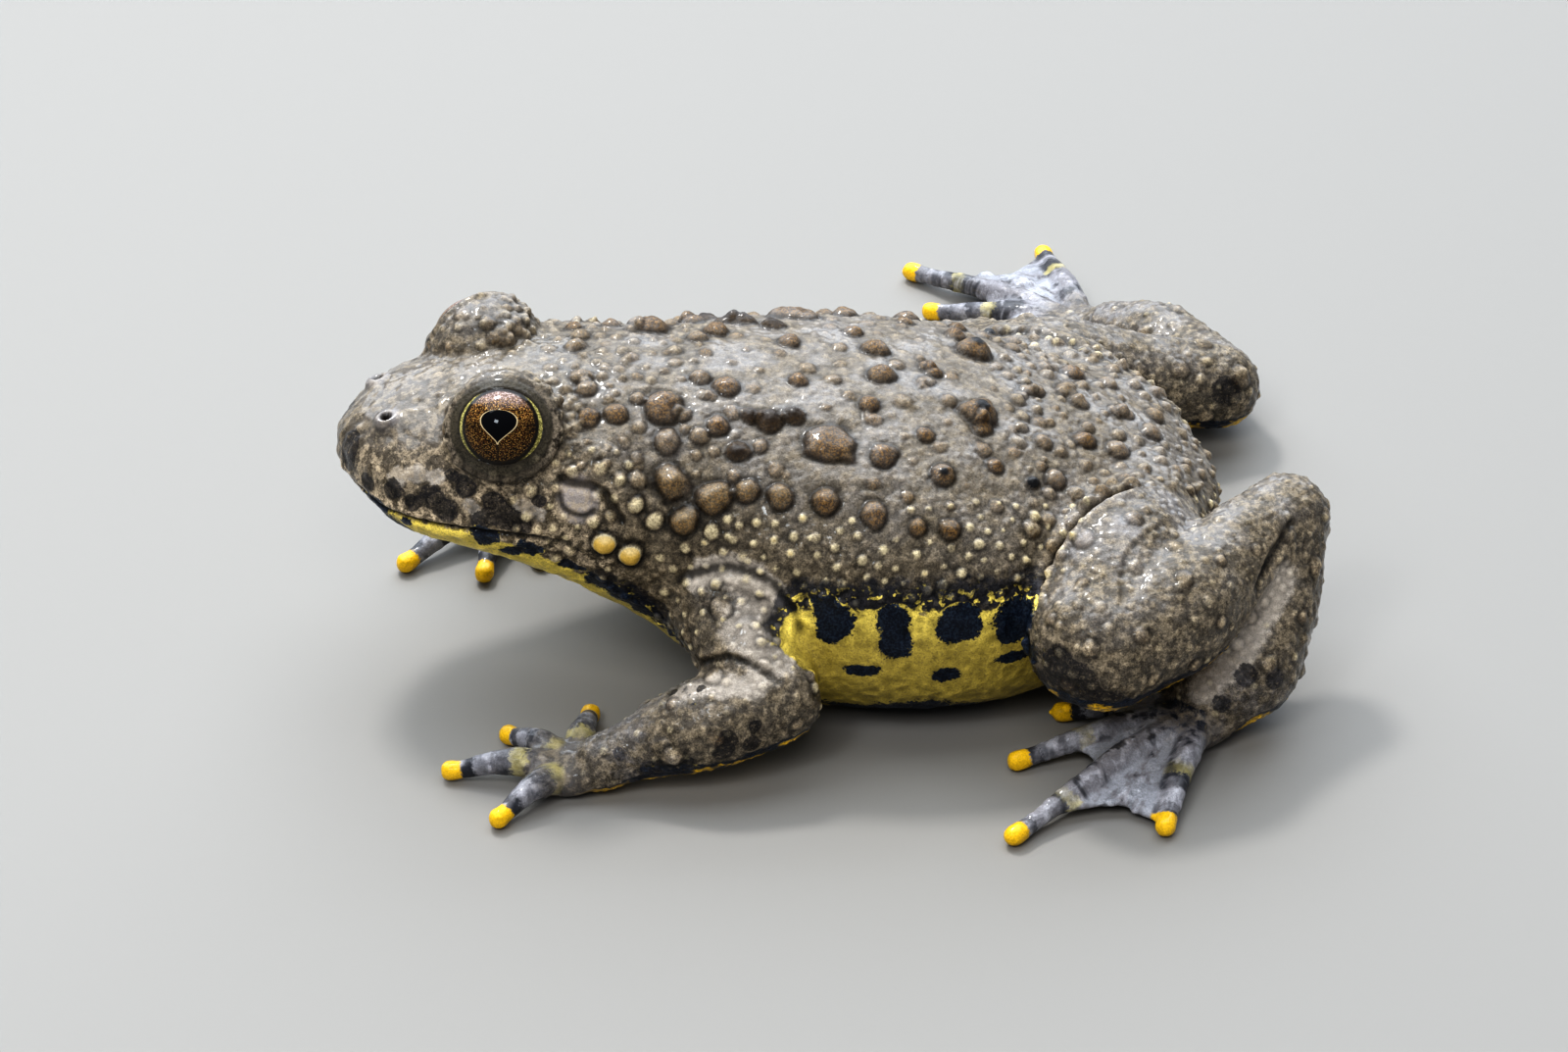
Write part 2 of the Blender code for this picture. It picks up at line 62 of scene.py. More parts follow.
class Signal:
    # a value in a node tree; sums of signals become Math nodes
    def __init__(self, socket):
        self.socket, self.tree = socket, socket.id_data

    def math(self, operation, other=0.0, clamp=False):
        node = put(self.tree, "ShaderNodeMath", {0: self, 1: other}, operation=operation, use_clamp=clamp)
        return Signal(node.outputs[0])

    def __add__(self, other):
        return self.math("ADD", other)

    def __sub__(self, other):
        return self.math("SUBTRACT", other)

    def __mul__(self, other):
        return self.math("MULTIPLY", other)

    def __abs__(self):
        return self.math("ABSOLUTE")

    def most(self, other):
        return self.math("MAXIMUM", other)

    def least(self, other):
        return self.math("MINIMUM", other)

    def held(self):  # kept between 0 and 1
        return self.math("ADD", clamp=True)

    def inverse(self):  # 1 minus this
        node = put(self.tree, "ShaderNodeMath", {0: 1.0, 1: self}, operation="SUBTRACT", use_clamp=True)
        return Signal(node.outputs[0])

    def shifted(self, noise, amount):  # pushed up and down by a noise of 0 to 1
        return self + (noise - 0.5) * amount

    def spread(self, low, high, atLow, atHigh, way="LINEAR"):
        # goes from atLow to atHigh while this goes from low to high
        node = put(self.tree, "ShaderNodeMapRange", {
            "Value": self, "From Min": low, "From Max": high, "To Min": atLow, "To Max": atHigh},
            interpolation_type=way)
        return Signal(node.outputs["Result"])

    def edge(self, threshold, softness):  # 0 below the threshold and 1 above it
        return self.spread(threshold - softness, threshold + softness, 0.0, 1.0, "SMOOTHSTEP")

    def band(self, middle, half, softness):  # 1 within a band of values, 0 outside it
        return abs(self - middle).edge(half, softness).inverse()


def feed(node, values):
    # a value may be a number, a colour or a signal
    for key, value in values.items():
        if isinstance(value, Signal):
            node.id_data.links.new(value.socket, node.inputs[key])
        else:
            node.inputs[key].default_value = (*value, 1) if isinstance(value, tuple) else value


def put(tree, kind, values=None, **settings):
    node = tree.nodes.new(kind)
    for key, value in settings.items():
        setattr(node, key, value)
    feed(node, values or {})
    return node


def mix(share, a, b, mode="MIX"):
    # colour a where the share is 0, and b where it is 1
    tree = next(value.tree for value in (share, a, b) if isinstance(value, Signal))
    node = put(tree, "ShaderNodeMix", {0: share, 6: a, 7: b}, data_type="RGBA", blend_type=mode)
    return Signal(node.outputs[2])


def noiseOf(where, scale, detail=2.0, roughness=0.5, distortion=0.0):
    node = put(where.tree, "ShaderNodeTexNoise", {"Vector": where, "Scale": scale, "Detail": detail,
                                                  "Roughness": roughness, "Distortion": distortion})
    return Signal(node.outputs["Fac"])


def millimetres(tree):
    place = Signal(put(tree, "ShaderNodeTexCoord").outputs["Object"])
    scaled = put(tree, "ShaderNodeVectorMath", {0: place, "Scale": 1 / mm}, operation="SCALE")
    return Signal(scaled.outputs["Vector"])


def newMaterial(name):
    material = bpy.data.materials.new(name)
    material.use_nodes = True
    return material, material.node_tree, material.node_tree.nodes["Principled BSDF"]


def speckleGroup():
    # crisp small flecks, with the share of the surface they cover
    group = bpy.data.node_groups.new("flecks", "ShaderNodeTree")
    group.interface.new_socket("Vector", in_out="INPUT", socket_type="NodeSocketVector")
    for name, start in (("Density", 4.0), ("Cover", 0.4), ("Softness", 0.06)):
        group.interface.new_socket(name, in_out="INPUT", socket_type="NodeSocketFloat").default_value = start
    group.interface.new_socket("Mask", in_out="OUTPUT", socket_type="NodeSocketFloat")
    given = group.nodes.new("NodeGroupInput").outputs
    where, density, cover, softness = (Signal(given[k]) for k in ("Vector", "Density", "Cover", "Softness"))
    grain = noiseOf(where, density, 1.5, 0.6)
    threshold = cover.spread(0.0, 1.0, 0.68, 0.34)
    mask = grain.spread(threshold - softness, threshold + softness, 0.0, 1.0, "SMOOTHSTEP")
    feed(group.nodes.new("NodeGroupOutput"), {"Mask": mask})
    return group


flecks = speckleGroup()


def fleckMask(where, density, cover, softness=0.06):
    values = {"Vector": where, "Density": density, "Cover": cover, "Softness": softness}
    return Signal(put(where.tree, "ShaderNodeGroup", values, node_tree=flecks).outputs["Mask"])


# camera, floor and light

cameraSetup = {
    "aim": (0.5, 0.0, 6.2),  # mm, the middle of the view
    "azimuth": -6.0,
    "elevation": 33.0,
    "distance": 320.0,
    "lens": 144.0,
    "sensorWidth": 36.0,
    "clipStart": 0.01,
}

studio = {
    "floorColour": (0.220, 0.213, 0.202),
    "floorRoughness": 0.7,
    "floorSize": 1.6,
    "worldColour": (0.86, 0.90, 0.96),
    "worldStrength": 0.25,
    "viewTransform": "Standard",
    "look": "High Contrast",
    "exposure": 0.05,
    # name: (place in mm, size in mm, watts, colour, whether wet skin mirrors it)
    "lamps": {
        "skyAbove": ((-20, 150, 450), (640, 420), 2.3, (0.88, 0.94, 1.0), True),
        "skyBehind": ((0, 430, 280), (900, 330), 2.3, (0.82, 0.90, 1.0), True),
        "fill": ((-100, -320, 400), (360, 220), 1.3, (1.0, 0.98, 0.95), False),
        "window": ((-70, 190, 330), (64, 46), 0.7, (1.0, 0.98, 0.95), True),
        "glint": ((-130, -205, 282), (52, 40), 0.12, (0.85, 0.93, 1.0), True),
    },
}


def setCamera():
    azimuth, elevation = (math.radians(cameraSetup[k]) for k in ("azimuth", "elevation"))
    back = Vector((math.sin(azimuth) * math.cos(elevation), -math.cos(azimuth) * math.cos(elevation),
                   math.sin(elevation)))
    cameraData = bpy.data.cameras.new("camera")
    cameraData.lens = cameraSetup["lens"]
    cameraData.sensor_width = cameraSetup["sensorWidth"]
    cameraData.clip_start = cameraSetup["clipStart"]
    camera = objectFrom("camera", cameraData)
    camera.location = (Vector(cameraSetup["aim"]) + back * cameraSetup["distance"]) * mm
    camera.rotation_euler = back.to_track_quat("Z", "Y").to_euler()
    bpy.context.scene.camera = camera


def setStudio():
    world = bpy.data.worlds.new("studio")
    bpy.context.scene.world = world
    world.use_nodes = True
    sky = world.node_tree.nodes["Background"]
    feed(sky, {"Color": studio["worldColour"], "Strength": studio["worldStrength"]})
    picture = bpy.context.scene.view_settings
    picture.view_transform = studio["viewTransform"]
    picture.look = studio["look"]
    picture.exposure = studio["exposure"]
    for name, (place, size, watts, colour, mirrored) in studio["lamps"].items():
        lampData = bpy.data.lights.new(name, "AREA")
        lampData.shape = "RECTANGLE"
        lampData.size, lampData.size_y = size[0] * mm, size[1] * mm
        lampData.energy = watts
        lampData.color = colour
        lamp = objectFrom(name, lampData)
        lamp.location = Vector(place) * mm
        lamp.visible_glossy = mirrored
        away = Vector(place) - Vector(cameraSetup["aim"])
        lamp.rotation_euler = away.to_track_quat("Z", "Y").to_euler()
    half = studio["floorSize"] / 2
    mesh = bpy.data.meshes.new("studioFloor")
    mesh.from_pydata([(-half, -half, 0), (half, -half, 0), (half, half, 0), (-half, half, 0)], [],
                     [(0, 1, 2, 3)])
    paint, _, shader = newMaterial("floorPaint")
    feed(shader, {"Base Color": studio["floorColour"], "Roughness": studio["floorRoughness"]})
    mesh.materials.append(paint)
    objectFrom("studioFloor", mesh)


setCamera()
setStudio()
report("camera, floor and lamps")


# mesh helpers

def meshFrom(name, bm):
    mesh = bpy.data.meshes.new(name)
    bm.to_mesh(mesh)
    bm.free()
    return mesh


def lineAt(line, x):
    # the smooth curve through a line's knots
    xs = sorted(line)
    x = min(max(x, xs[0]), xs[-1])
    i = max(k for k in range(len(xs) - 1) if xs[k] <= x)
    a, b = xs[i], xs[i + 1]

    def slope(k):
        low, high = xs[max(k - 1, 0)], xs[min(k + 1, len(xs) - 1)]
        return (line[high] - line[low]) / (high - low)

    t = (x - a) / (b - a)
    rise, fall, start = 3 * t * t - 2 * t**3, t**3 - t * t, t - 2 * t * t + t**3
    return line[a] * (1 - rise) + line[b] * rise + (b - a) * (slope(i) * start + slope(i + 1) * fall)


def linesAt(line, xs):
    knots = np.linspace(min(line), max(line), 500)
    return np.interp(xs, knots, [lineAt(line, x) for x in knots])


def ballMesh(centre, radii, turn=None, segments=32):
    if not hasattr(radii, "__len__"):
        radii = (radii,) * 3
    bm = bmesh.new()
    bmesh.ops.create_uvsphere(bm, u_segments=segments, v_segments=segments // 2, radius=1)
    bm.transform(Matrix.Translation(centre) @ (turn.to_4x4() if turn else Matrix())
                 @ Matrix.Diagonal((*radii, 1)))
    return meshFrom("ball", bm)


def smoothPath(chain, steps=10):
    # points and radii on a smooth curve through (point, radius) pairs
    points = [Vector(p) for p, _ in chain]
    radii = [r for _, r in chain]
    padded = [2 * points[0] - points[1], *points, 2 * points[-1] - points[-2]]
    path = []
    for i in range(1, len(points)):
        for step in range(steps + (i == len(points) - 1)):
            t = step / steps
            a, b, c, d = padded[i - 1:i + 3]
            place = 0.5 * (2 * b + (c - a) * t + (2 * a - 5 * b + 4 * c - d) * t**2
                           + (3 * b - a - 3 * c + d) * t**3)
            ease = t * t * (3 - 2 * t)
            path.append((place, radii[i - 1] * (1 - ease) + radii[i] * ease))
    return path


def tubeMesh(chain, around=24):
    # a round tube with rounded ends
    path = smoothPath(chain)
    bm = bmesh.new()
    rows = []
    for k, (place, radius) in enumerate(path):
        before, after = path[max(k - 1, 0)][0], path[min(k + 1, len(path) - 1)][0]
        turn = (after - before).to_track_quat("Z", "Y").to_matrix()
        rows.append([bm.verts.new(place + turn @ Vector((math.cos(a), math.sin(a), 0)) * radius)
                     for a in (2 * math.pi * n / around for n in range(around))])
    for low, high in zip(rows, rows[1:]):
        for n in range(around):
            bm.faces.new((low[n], low[(n + 1) % around], high[(n + 1) % around], high[n]))
    bm.faces.new(reversed(rows[0]))
    bm.faces.new(rows[-1])
    return [meshFrom("tube", bm)] + [ballMesh(*path[end]) for end in (0, -1)]


def applyModifiers(obj):
    obj.data = bpy.data.meshes.new_from_object(obj.evaluated_get(bpy.context.evaluated_depsgraph_get()))
    obj.modifiers.clear()


def numbersOf(items, key, width, kind=np.float32):
    found = np.empty(len(items) * width, kind)
    items.foreach_get(key, found)
    return found.reshape(-1, width)


def verticesOf(mesh):
    return numbersOf(mesh.vertices, "co", 3).astype(float)


def normalsOf(mesh):
    return numbersOf(mesh.vertex_normals, "vector", 3).astype(float)


def setVertices(mesh, places):
    mesh.vertices.foreach_set("co", places.astype(np.float32).ravel())
    mesh.update()


def smoothStep(low, high, value):
    t = np.clip((value - low) / (high - low), 0, 1)
    return t * t * (3 - 2 * t)


def bell(value, width):
    return np.exp(-(value / width) ** 2)


def gapTo(places, centre):
    return np.linalg.norm(places - np.array(centre), axis=1)


def softNoise(places, size, seed, cells=32):
    # smooth noise of about -1 to 1; size is the length of one swell in mm
    heights = np.random.default_rng(seed).uniform(-1, 1, (cells,) * 3)
    scaled = places / size + 500.0  # clear of negative numbers
    base = np.floor(scaled).astype(int)
    part = scaled - base
    part = part * part * (3 - 2 * part)
    total = np.zeros(len(places))
    for corner in itertools.product((0, 1), repeat=3):
        weight = 1.0
        for axis, step in enumerate(corner):
            weight = weight * (part[:, axis] if step else 1 - part[:, axis])
        total += weight * heights[tuple((base[:, axis] + step) % cells for axis, step in enumerate(corner))]
    return total


def nearPath(allPlaces, path, reach=5.0):
    # distance of each place from a path of points, and how far along the path it is, from 0 to 1
    path = np.array([tuple(p) for p in path], float)
    steps = np.linalg.norm(np.diff(path, axis=0), axis=1)
    travelled = np.concatenate([[0], np.cumsum(steps)]) / steps.sum()
    inReach = ((allPlaces > path.min(0) - reach) & (allPlaces < path.max(0) + reach)).all(axis=1)
    places = allPlaces[inReach]
    best, where = np.full(len(places), far), np.zeros(len(places))
    for k, (a, b) in enumerate(zip(path, path[1:])):
        way = b - a
        t = np.clip(((places - a) @ way) / (way @ way), 0, 1)
        offset = places - a - t[:, None] * way
        gap = np.sqrt(np.einsum("ij,ij->i", offset, offset))
        closer = gap < best
        best[closer] = gap[closer]
        where[closer] = (travelled[k] + t * (travelled[k + 1] - travelled[k]))[closer]
    allBest, allWhere = np.full(len(allPlaces), far), np.zeros(len(allPlaces))
    allBest[inReach], allWhere[inReach] = best, where
    return allBest, allWhere


# the trunk: one loft from snout to rump, the same as the solids'

trunk = {
    "snoutX": -22.0, "rumpX": 22.8, "snoutZ": 12.9, "rumpZ": 7.4, "snoutRound": 4.6, "rumpRound": 5.2,
    "endAngles": (18, 32, 46, 60, 75),  # the sections that round off each end
    "backLine": {-22: 15.2, -19: 15.7, -16.5: 16.25, -14: 16.65, -9: 16.9, -3: 16.5, 3: 15.9, 9: 14.9,
                 14: 13.3, 18: 11.8, 23: 10.2},
    "bellyLine": {-22: 9.6, -17: 8.9, -12: 7.2, -8: 4.6, -4: 1.4, 0: -0.4, 5: -0.7, 11: -0.5, 16: 0.6,
                  20: 2.0, 23: 3.4},
    "halfWidth": {-22: 4.7, -18: 6.0, -14: 7.4, -10: 8.2, -6: 8.8, -1: 10.8, 4: 12.1, 9: 12.2, 13: 11.0,
                  17: 9.2, 23: 6.6},
    "widestShare": 0.44,
    "backSquareness": {-22: 1.95, -16: 2.0, -11: 2.15, 23: 2.15},  # 2 is an ellipse
    "bellySquareness": 2.5,
    "sectionPoints": 64, "sectionStep": 0.75,
}


def trunkSection(x):
    closing, middle = 1.0, None
    for endX, endZ, length in ((trunk["snoutX"], trunk["snoutZ"], trunk["snoutRound"]),
                               (trunk["rumpX"], trunk["rumpZ"], trunk["rumpRound"])):
        depth = abs(x - endX) / length
        if depth < 1:
            closing, middle = math.sqrt(1 - (1 - depth) ** 2), endZ
    top, bottom = lineAt(trunk["backLine"], x), lineAt(trunk["bellyLine"], x)
    if middle is not None:
        top, bottom = middle + (top - middle) * closing, middle + (bottom - middle) * closing
    half = lineAt(trunk["halfWidth"], x) * closing
    return top, bottom, half, bottom + trunk["widestShare"] * (top - bottom)


def trunkMesh():
    snout, rump = trunk["snoutX"] + trunk["snoutRound"], trunk["rumpX"] - trunk["rumpRound"]
    turns = [math.cos(math.radians(a)) for a in trunk["endAngles"]]
    stations = [snout - trunk["snoutRound"] * turn for turn in turns]
    stations += list(np.arange(snout, rump, trunk["sectionStep"]))
    stations += [rump + trunk["rumpRound"] * turn for turn in turns[::-1]]
    count = trunk["sectionPoints"]
    bm = bmesh.new()
    rows = []
    for x in stations:
        top, bottom, half, widest = trunkSection(x)
        row = []
        for k in range(count):
            c, s = math.cos(2 * math.pi * k / count), math.sin(2 * math.pi * k / count)
            power = 2 / (lineAt(trunk["backSquareness"], x) if s > 0 else trunk["bellySquareness"])
            reach = top - widest if s > 0 else widest - bottom
            row.append(bm.verts.new((x, half * math.copysign(abs(c) ** power, c),
                                     widest + reach * math.copysign(abs(s) ** power, s))))
        rows.append(row)
    first = bm.verts.new((trunk["snoutX"], 0, trunk["snoutZ"]))
    last = bm.verts.new((trunk["rumpX"], 0, trunk["rumpZ"]))
    for k in range(count):
        n = (k + 1) % count
        bm.faces.new((first, rows[0][k], rows[0][n]))
        bm.faces.new((last, rows[-1][n], rows[-1][k]))
        for low, high in zip(rows, rows[1:]):
            bm.faces.new((low[k], high[k], high[n], low[n]))
    bmesh.ops.recalc_face_normals(bm, faces=bm.faces)
    return meshFrom("trunk", bm)


# head: -1 is the left side and 1 the right; a place given for the right side is mirrored for the left
head = {
    # middle of the eye's bulge and the way the eye looks
    "eyes": {-1: ((-13.8, -4.35, 15.6), (-0.16, -0.78, 0.61)), 1: ((-14.3, 4.1, 15.1), (-0.45, 0.83, 0.33))},
    "eyeRadius": 2.45,
    "eyeForward": 0.4,
    "bulgeRadius": 3.0,
    "openingAcross": 59.0,  # half angles of the lid opening, seen from the eyeball's middle
    "openingUp": 52.0,
    "lidCrispness": {-1: 1.0, 1: 0.3},
    "hiddenDepth": 0.35,  # how far the skin dives under the eyeball inside the opening
    "lidMargin": 0.1,
    "lidRing": (17.0, 3.5, 0.5),  # degrees the lid's ring is wide: least, more at the rear, more below
    "eyeFold": [((-11.3, 5.2, 15.4), 0.6), ((-9.3, 6.2, 14.6), 0.75), ((-7.8, 7.3, 13.2), 0.6)],
    "nostrils": {-1: (-19.5, -1.7, 15.0), 1: (-19.7, 2.1, 14.7)},
    "nostrilSwelling": 0.7,
    "nostrilSink": 0.35,
    "mouth": [(-22.0, 0.0, 11.7), (-21.5, 2.4, 11.7), (-20.3, 4.1, 11.6), (-18.6, 5.5, 11.5),
              (-16.7, 6.4, 11.5), (-14.8, 7.1, 11.5), (-12.9, 7.6, 11.4), (-11.2, 7.8, 11.2),
              (-10.2, 7.9, 10.8)],
}


def mirrored(place, side):
    return Vector((place[0], side * place[1], place[2]))


def eyeFrame(side):
    # the eye's middle, and the ways to its rear or front, up and along its gaze
    middle, way = head["eyes"][side]
    axis = Vector(way).normalized()
    up = (Vector((0, 0, 1)) - axis * axis.z).normalized()
    return Vector(middle) + axis * head["eyeForward"], up.cross(axis), up, axis


# limbs: chains of (point, radius) from root to tip

limbs = {
    "upperArmLeft": [((-4, -6.5, 7.6), 2.9), ((-2.9, -9.6, 6.3), 2.6), ((-1.2, -12.3, 4.4), 2.2)],
    "forearmLeft": [((-1.2, -12.4, 4.1), 2.3), ((-4.6, -12.9, 3.3), 2.4), ((-9.8, -13.3, 1.7), 1.4)],
    "thighLeft": [((18, -3.5, 7.6), 3.7), ((16.3, -8.6, 7.9), 4.2), ((14.4, -13.4, 7.2), 3.3)],
    "shankLeft": [((15, -14, 6.9), 3.0), ((18.6, -12, 7.7), 3.2), ((22.4, -8.6, 8.7), 2.4),
                  ((25.2, -6.2, 9.0), 2.3)],
    "tarsusLeft": [((25.0, -6.8, 8.4), 2.2), ((24.1, -8.8, 5.7), 2.5), ((22.5, -10.6, 3.4), 2.9),
                   ((21.2, -11.2, 2.4), 2.4)],
    "upperArmRight": [((-4, 6.5, 7.6), 2.9), ((-3.4, 9.8, 6.0), 2.6), ((-2.2, 12.6, 4.2), 2.2)],
    "forearmRight": [((-2.3, 12.8, 4.0), 2.3), ((-6.0, 12.9, 3.2), 2.4), ((-11.4, 12.2, 1.7), 1.4)],
    "thighRight": [((18, 3.5, 7.6), 3.7), ((15.2, 8.8, 7.0), 4.2), ((12.2, 13.6, 5.8), 3.3)],
    "shankRight": [((12.6, 14.2, 5.5), 3.0), ((16.6, 14.9, 5.0), 3.2), ((21.5, 15.6, 4.0), 2.5),
                   ((25.6, 15.9, 3.2), 2.3)],
    "tarsusRight": [((25.6, 16.4, 3.0), 2.2), ((24.8, 19.0, 2.6), 2.2), ((23.2, 22.0, 2.3), 2.3),
                    ((21.2, 24.2, 1.8), 1.8)],
}

# hands and feet: wrist or ankle, palm or sole, and the tips from the innermost digit outwards
palms = {
    "handLeft": {"root": (-9.8, -13.3, 1.5), "palm": (-11.3, -13.0, 1.0),
                 "tips": [(-10.1, -7.6), (-14.3, -9.0), (-17.4, -11.8), (-15.3, -16.1)]},
    "handRight": {"root": (-11.4, 12.2, 1.5), "palm": (-13.2, 11.4, 1.0),
                  "tips": [(-9.4, 8.6), (-11.6, 7.0), (-14.6, 5.8), (-18.6, 7.2)]},
    "footLeft": {"root": (21.8, -11.4, 1.8), "palm": (20.3, -11.9, 1.2),
                 "tips": [(16.6, -9.6), (13.5, -9.9), (10.7, -13.9), (9.7, -20.2), (17.2, -20.2)]},
    "footRight": {"root": (21.2, 24.2, 1.8), "palm": (19.9, 25.5, 1.2),
                  "tips": [(16.0, 23.4), (13.1, 26.0), (11.8, 29.6), (11.3, 34.0), (18.9, 35.2)]},
}

digits = {
    # (share of the length, radius, rise)
    "shape": [(0.0, 0.86, 0.0), (0.35, 0.76, 0.50), (0.62, 0.58, 0.42), (0.88, 0.47, 0.08),
              (1.0, 0.55, 0.0)],
    "start": 0.8,  # from the palm's middle
    "tipHeight": 0.55,
    "palmRadii": {"hand": (2.0, 1.7, 1.1), "foot": (2.6, 2.0, 1.25)},
    "wristRadii": (1.45, 1.3, 1.0),
    "webThickness": 0.42,
    "webReach": [(0.45, 0.40), (0.45, 0.42), (0.62, 0.52), (0.74, 0.92)],
    "webSag": 0.22,
    "webDip": 0.25,
    "webSteps": 14,
}


def digitPath(palm, tip):
    palm, tip = Vector(palm), Vector((*tip, digits["tipHeight"]))
    start = palm + (tip - palm).normalized() * digits["start"]
    return [(start.lerp(tip, share) + Vector((0, 0, rise)), radius)
            for share, radius, rise in digits["shape"]]


def webMesh(first, second, reach):
    # a thin sheet between two toes, hollowed along its free edge
    def onToe(path, share):
        place = share * (len(path) - 1)
        low = min(int(place), len(path) - 2)
        return path[low].lerp(path[low + 1], place - low)

    steps = digits["webSteps"]
    bm = bmesh.new()
    grid = []
    for share in (k / steps for k in range(steps + 1)):
        row = []
        for s in (k / steps for k in range(steps + 1)):
            hollow = share * (1 - digits["webSag"] * share * 4 * s * (1 - s))
            here = onToe(first, hollow * reach[0]).lerp(onToe(second, hollow * reach[1]), s)
            row.append(bm.verts.new(here - Vector((0, 0, digits["webDip"] * math.sin(math.pi * s) * share))))
        grid.append(row)
    for low, high in zip(grid, grid[1:]):
        for k in range(steps):
            bm.faces.new((low[k], low[k + 1], high[k + 1], high[k]))
    bmesh.ops.recalc_face_normals(bm, faces=bm.faces)
    sheet = objectFrom("web", meshFrom("web", bm))
    solidify = sheet.modifiers.new("Solidify", "SOLIDIFY")
    solidify.thickness = digits["webThickness"]
    solidify.offset = 0
    applyModifiers(sheet)
    mesh = sheet.data
    bpy.data.objects.remove(sheet)
    return mesh


def makePalm(name, spec):
    # returns the meshes of one hand or foot and the path of each digit
    kind = "hand" if name.startswith("hand") else "foot"
    root, palm = Vector(spec["root"]), Vector(spec["palm"])
    turn = (palm - root).normalized().to_track_quat("X", "Z").to_matrix()
    meshes = [ballMesh(palm, digits["palmRadii"][kind], turn)]
    meshes += tubeMesh(list(zip((root, (root + palm) / 2, palm), digits["wristRadii"])))
    paths = []
    for tip in spec["tips"]:
        chain = digitPath(palm, tip)
        meshes += tubeMesh(chain, 20)
        paths.append([place for place, _ in smoothPath(chain)])
    if kind == "foot":
        meshes += [webMesh(a, b, reach) for a, b, reach in zip(paths, paths[1:], digits["webReach"])]
    return meshes, paths


# one closed skin over all the flesh

skinBuild = {
    "voxel": 0.22,  # halved once more by the subdivision
    "evening": 5,  # rounds that take out the steps of the voxels
    "pull": 0.5,
    "push": 0.52,  # after each pull in, to keep the volume
    "softening": 14,  # rounds that fill the creases where limbs meet the trunk
    "digitClearance": (1.6, 2.6),  # mm from what stays crisp, to where the softening is full
    "eyeClearance": (3.4, 4.2),
    "nostrilClearance": (0.8, 1.4),
}


def keepLargest(mesh):
    # labels connected vertices with numpy and drops all but the largest closed surface
    a, b = numbersOf(mesh.edges, "vertices", 2, np.int32).T
    label = np.arange(len(mesh.vertices))
    while True:
        lowest = np.minimum(label[a], label[b])
        newer = label.copy()
        np.minimum.at(newer, a, lowest)
        np.minimum.at(newer, b, lowest)
        newer = newer[newer]
        if (newer == label).all():
            break
        label = newer
    names, counts = np.unique(label, return_counts=True)
    if len(names) > 1:
        stray = np.flatnonzero(label != names[counts.argmax()])
        bm = bmesh.new()
        bm.from_mesh(mesh)
        bm.verts.ensure_lookup_table()
        bmesh.ops.delete(bm, geom=[bm.verts[int(k)] for k in stray], context="VERTS")
        bm.to_mesh(mesh)
        bm.free()


def neighbourMean(mesh):
    # gives a function that averages any values over each vertex's neighbours
    a, b = numbersOf(mesh.edges, "vertices", 2, np.int32).T
    count = len(mesh.vertices)
    valence = np.bincount(a, minlength=count) + np.bincount(b, minlength=count)

    def mean(values):
        if values.ndim == 1:
            total = np.bincount(a, values[b], count) + np.bincount(b, values[a], count)
            return total / valence
        return np.stack([mean(values[:, k]) for k in range(values.shape[1])], axis=1)

    return mean


def makeFlesh():
    meshes = [trunkMesh()]
    for side in sides:
        meshes.append(ballMesh(head["eyes"][side][0], head["bulgeRadius"], segments=64))
        meshes += tubeMesh([(mirrored(p, side), r) for p, r in head["eyeFold"]])
        sink = Vector((0, 0, head["nostrilSink"]))
        meshes.append(ballMesh(Vector(head["nostrils"][side]) - sink, head["nostrilSwelling"]))
    for chain in limbs.values():
        meshes += tubeMesh(chain, 40)
    digitPaths = {}
    for name, spec in palms.items():
        more, digitPaths[name] = makePalm(name, spec)
        meshes += more
    bm = bmesh.new()
    for mesh in meshes:
        bm.from_mesh(mesh)
        bpy.data.meshes.remove(mesh)
    skin = objectFrom("toadSkin", meshFrom("toadSkin", bm))
    remesh = skin.modifiers.new("Remesh", "REMESH")
    remesh.mode = "VOXEL"
    remesh.voxel_size = skinBuild["voxel"]
    applyModifiers(skin)
    keepLargest(skin.data)
    return skin, digitPaths


skin, digitPaths = makeFlesh()
report(f"flesh fused, {len(skin.data.polygons)} faces")


# where each point of the skin lies on the animal

def trunkPlace(places):
    # how far out from the trunk's middle a place is (1 on its surface), and its angle above the side
    ends = trunk["snoutX"] + 0.3, trunk["rumpX"] - 0.3
    x = np.clip(places[:, 0], *ends)
    knots = np.linspace(*ends, 400)
    sections = np.array([trunkSection(knot) for knot in knots])
    top, bottom, half, widest = (np.interp(x, knots, column) for column in sections.T)
    above = places[:, 2] > widest
    reach = np.where(above, top - widest, widest - bottom)
    power = np.where(above, linesAt(trunk["backSquareness"], x), trunk["bellySquareness"])
    out = np.abs(places[:, 1] / half) ** power + np.abs((places[:, 2] - widest) / reach) ** power
    angle = np.degrees(np.arctan2(places[:, 2] - (top + bottom) / 2, np.abs(places[:, 1])))
    return out ** (1 / power), angle


def limbPlace(places, digitPaths):
    # distance from the nearest limb's middle line over its radius, and from the nearest digit's line
    nearest = np.full(len(places), far)
    for chain in limbs.values():
        path = smoothPath(chain, 4)
        gap, where = nearPath(places, [p for p, _ in path])
        radius = np.interp(where, np.linspace(0, 1, len(path)), [r for _, r in path])
        nearest = np.minimum(nearest, gap / radius)
    digitGap, tipWay = np.full(len(places), far), np.full(len(places), far)
    for paths in digitPaths.values():
        for path in paths:
            gap, where = nearPath(places, path[::2], 3.0)
            length = sum((b - a).length for a, b in zip(path, path[1:]))
            closer = gap < digitGap
            digitGap[closer] = gap[closer]
            tipWay[closer] = ((1 - where) * length)[closer]
    return nearest, digitGap, tipWay


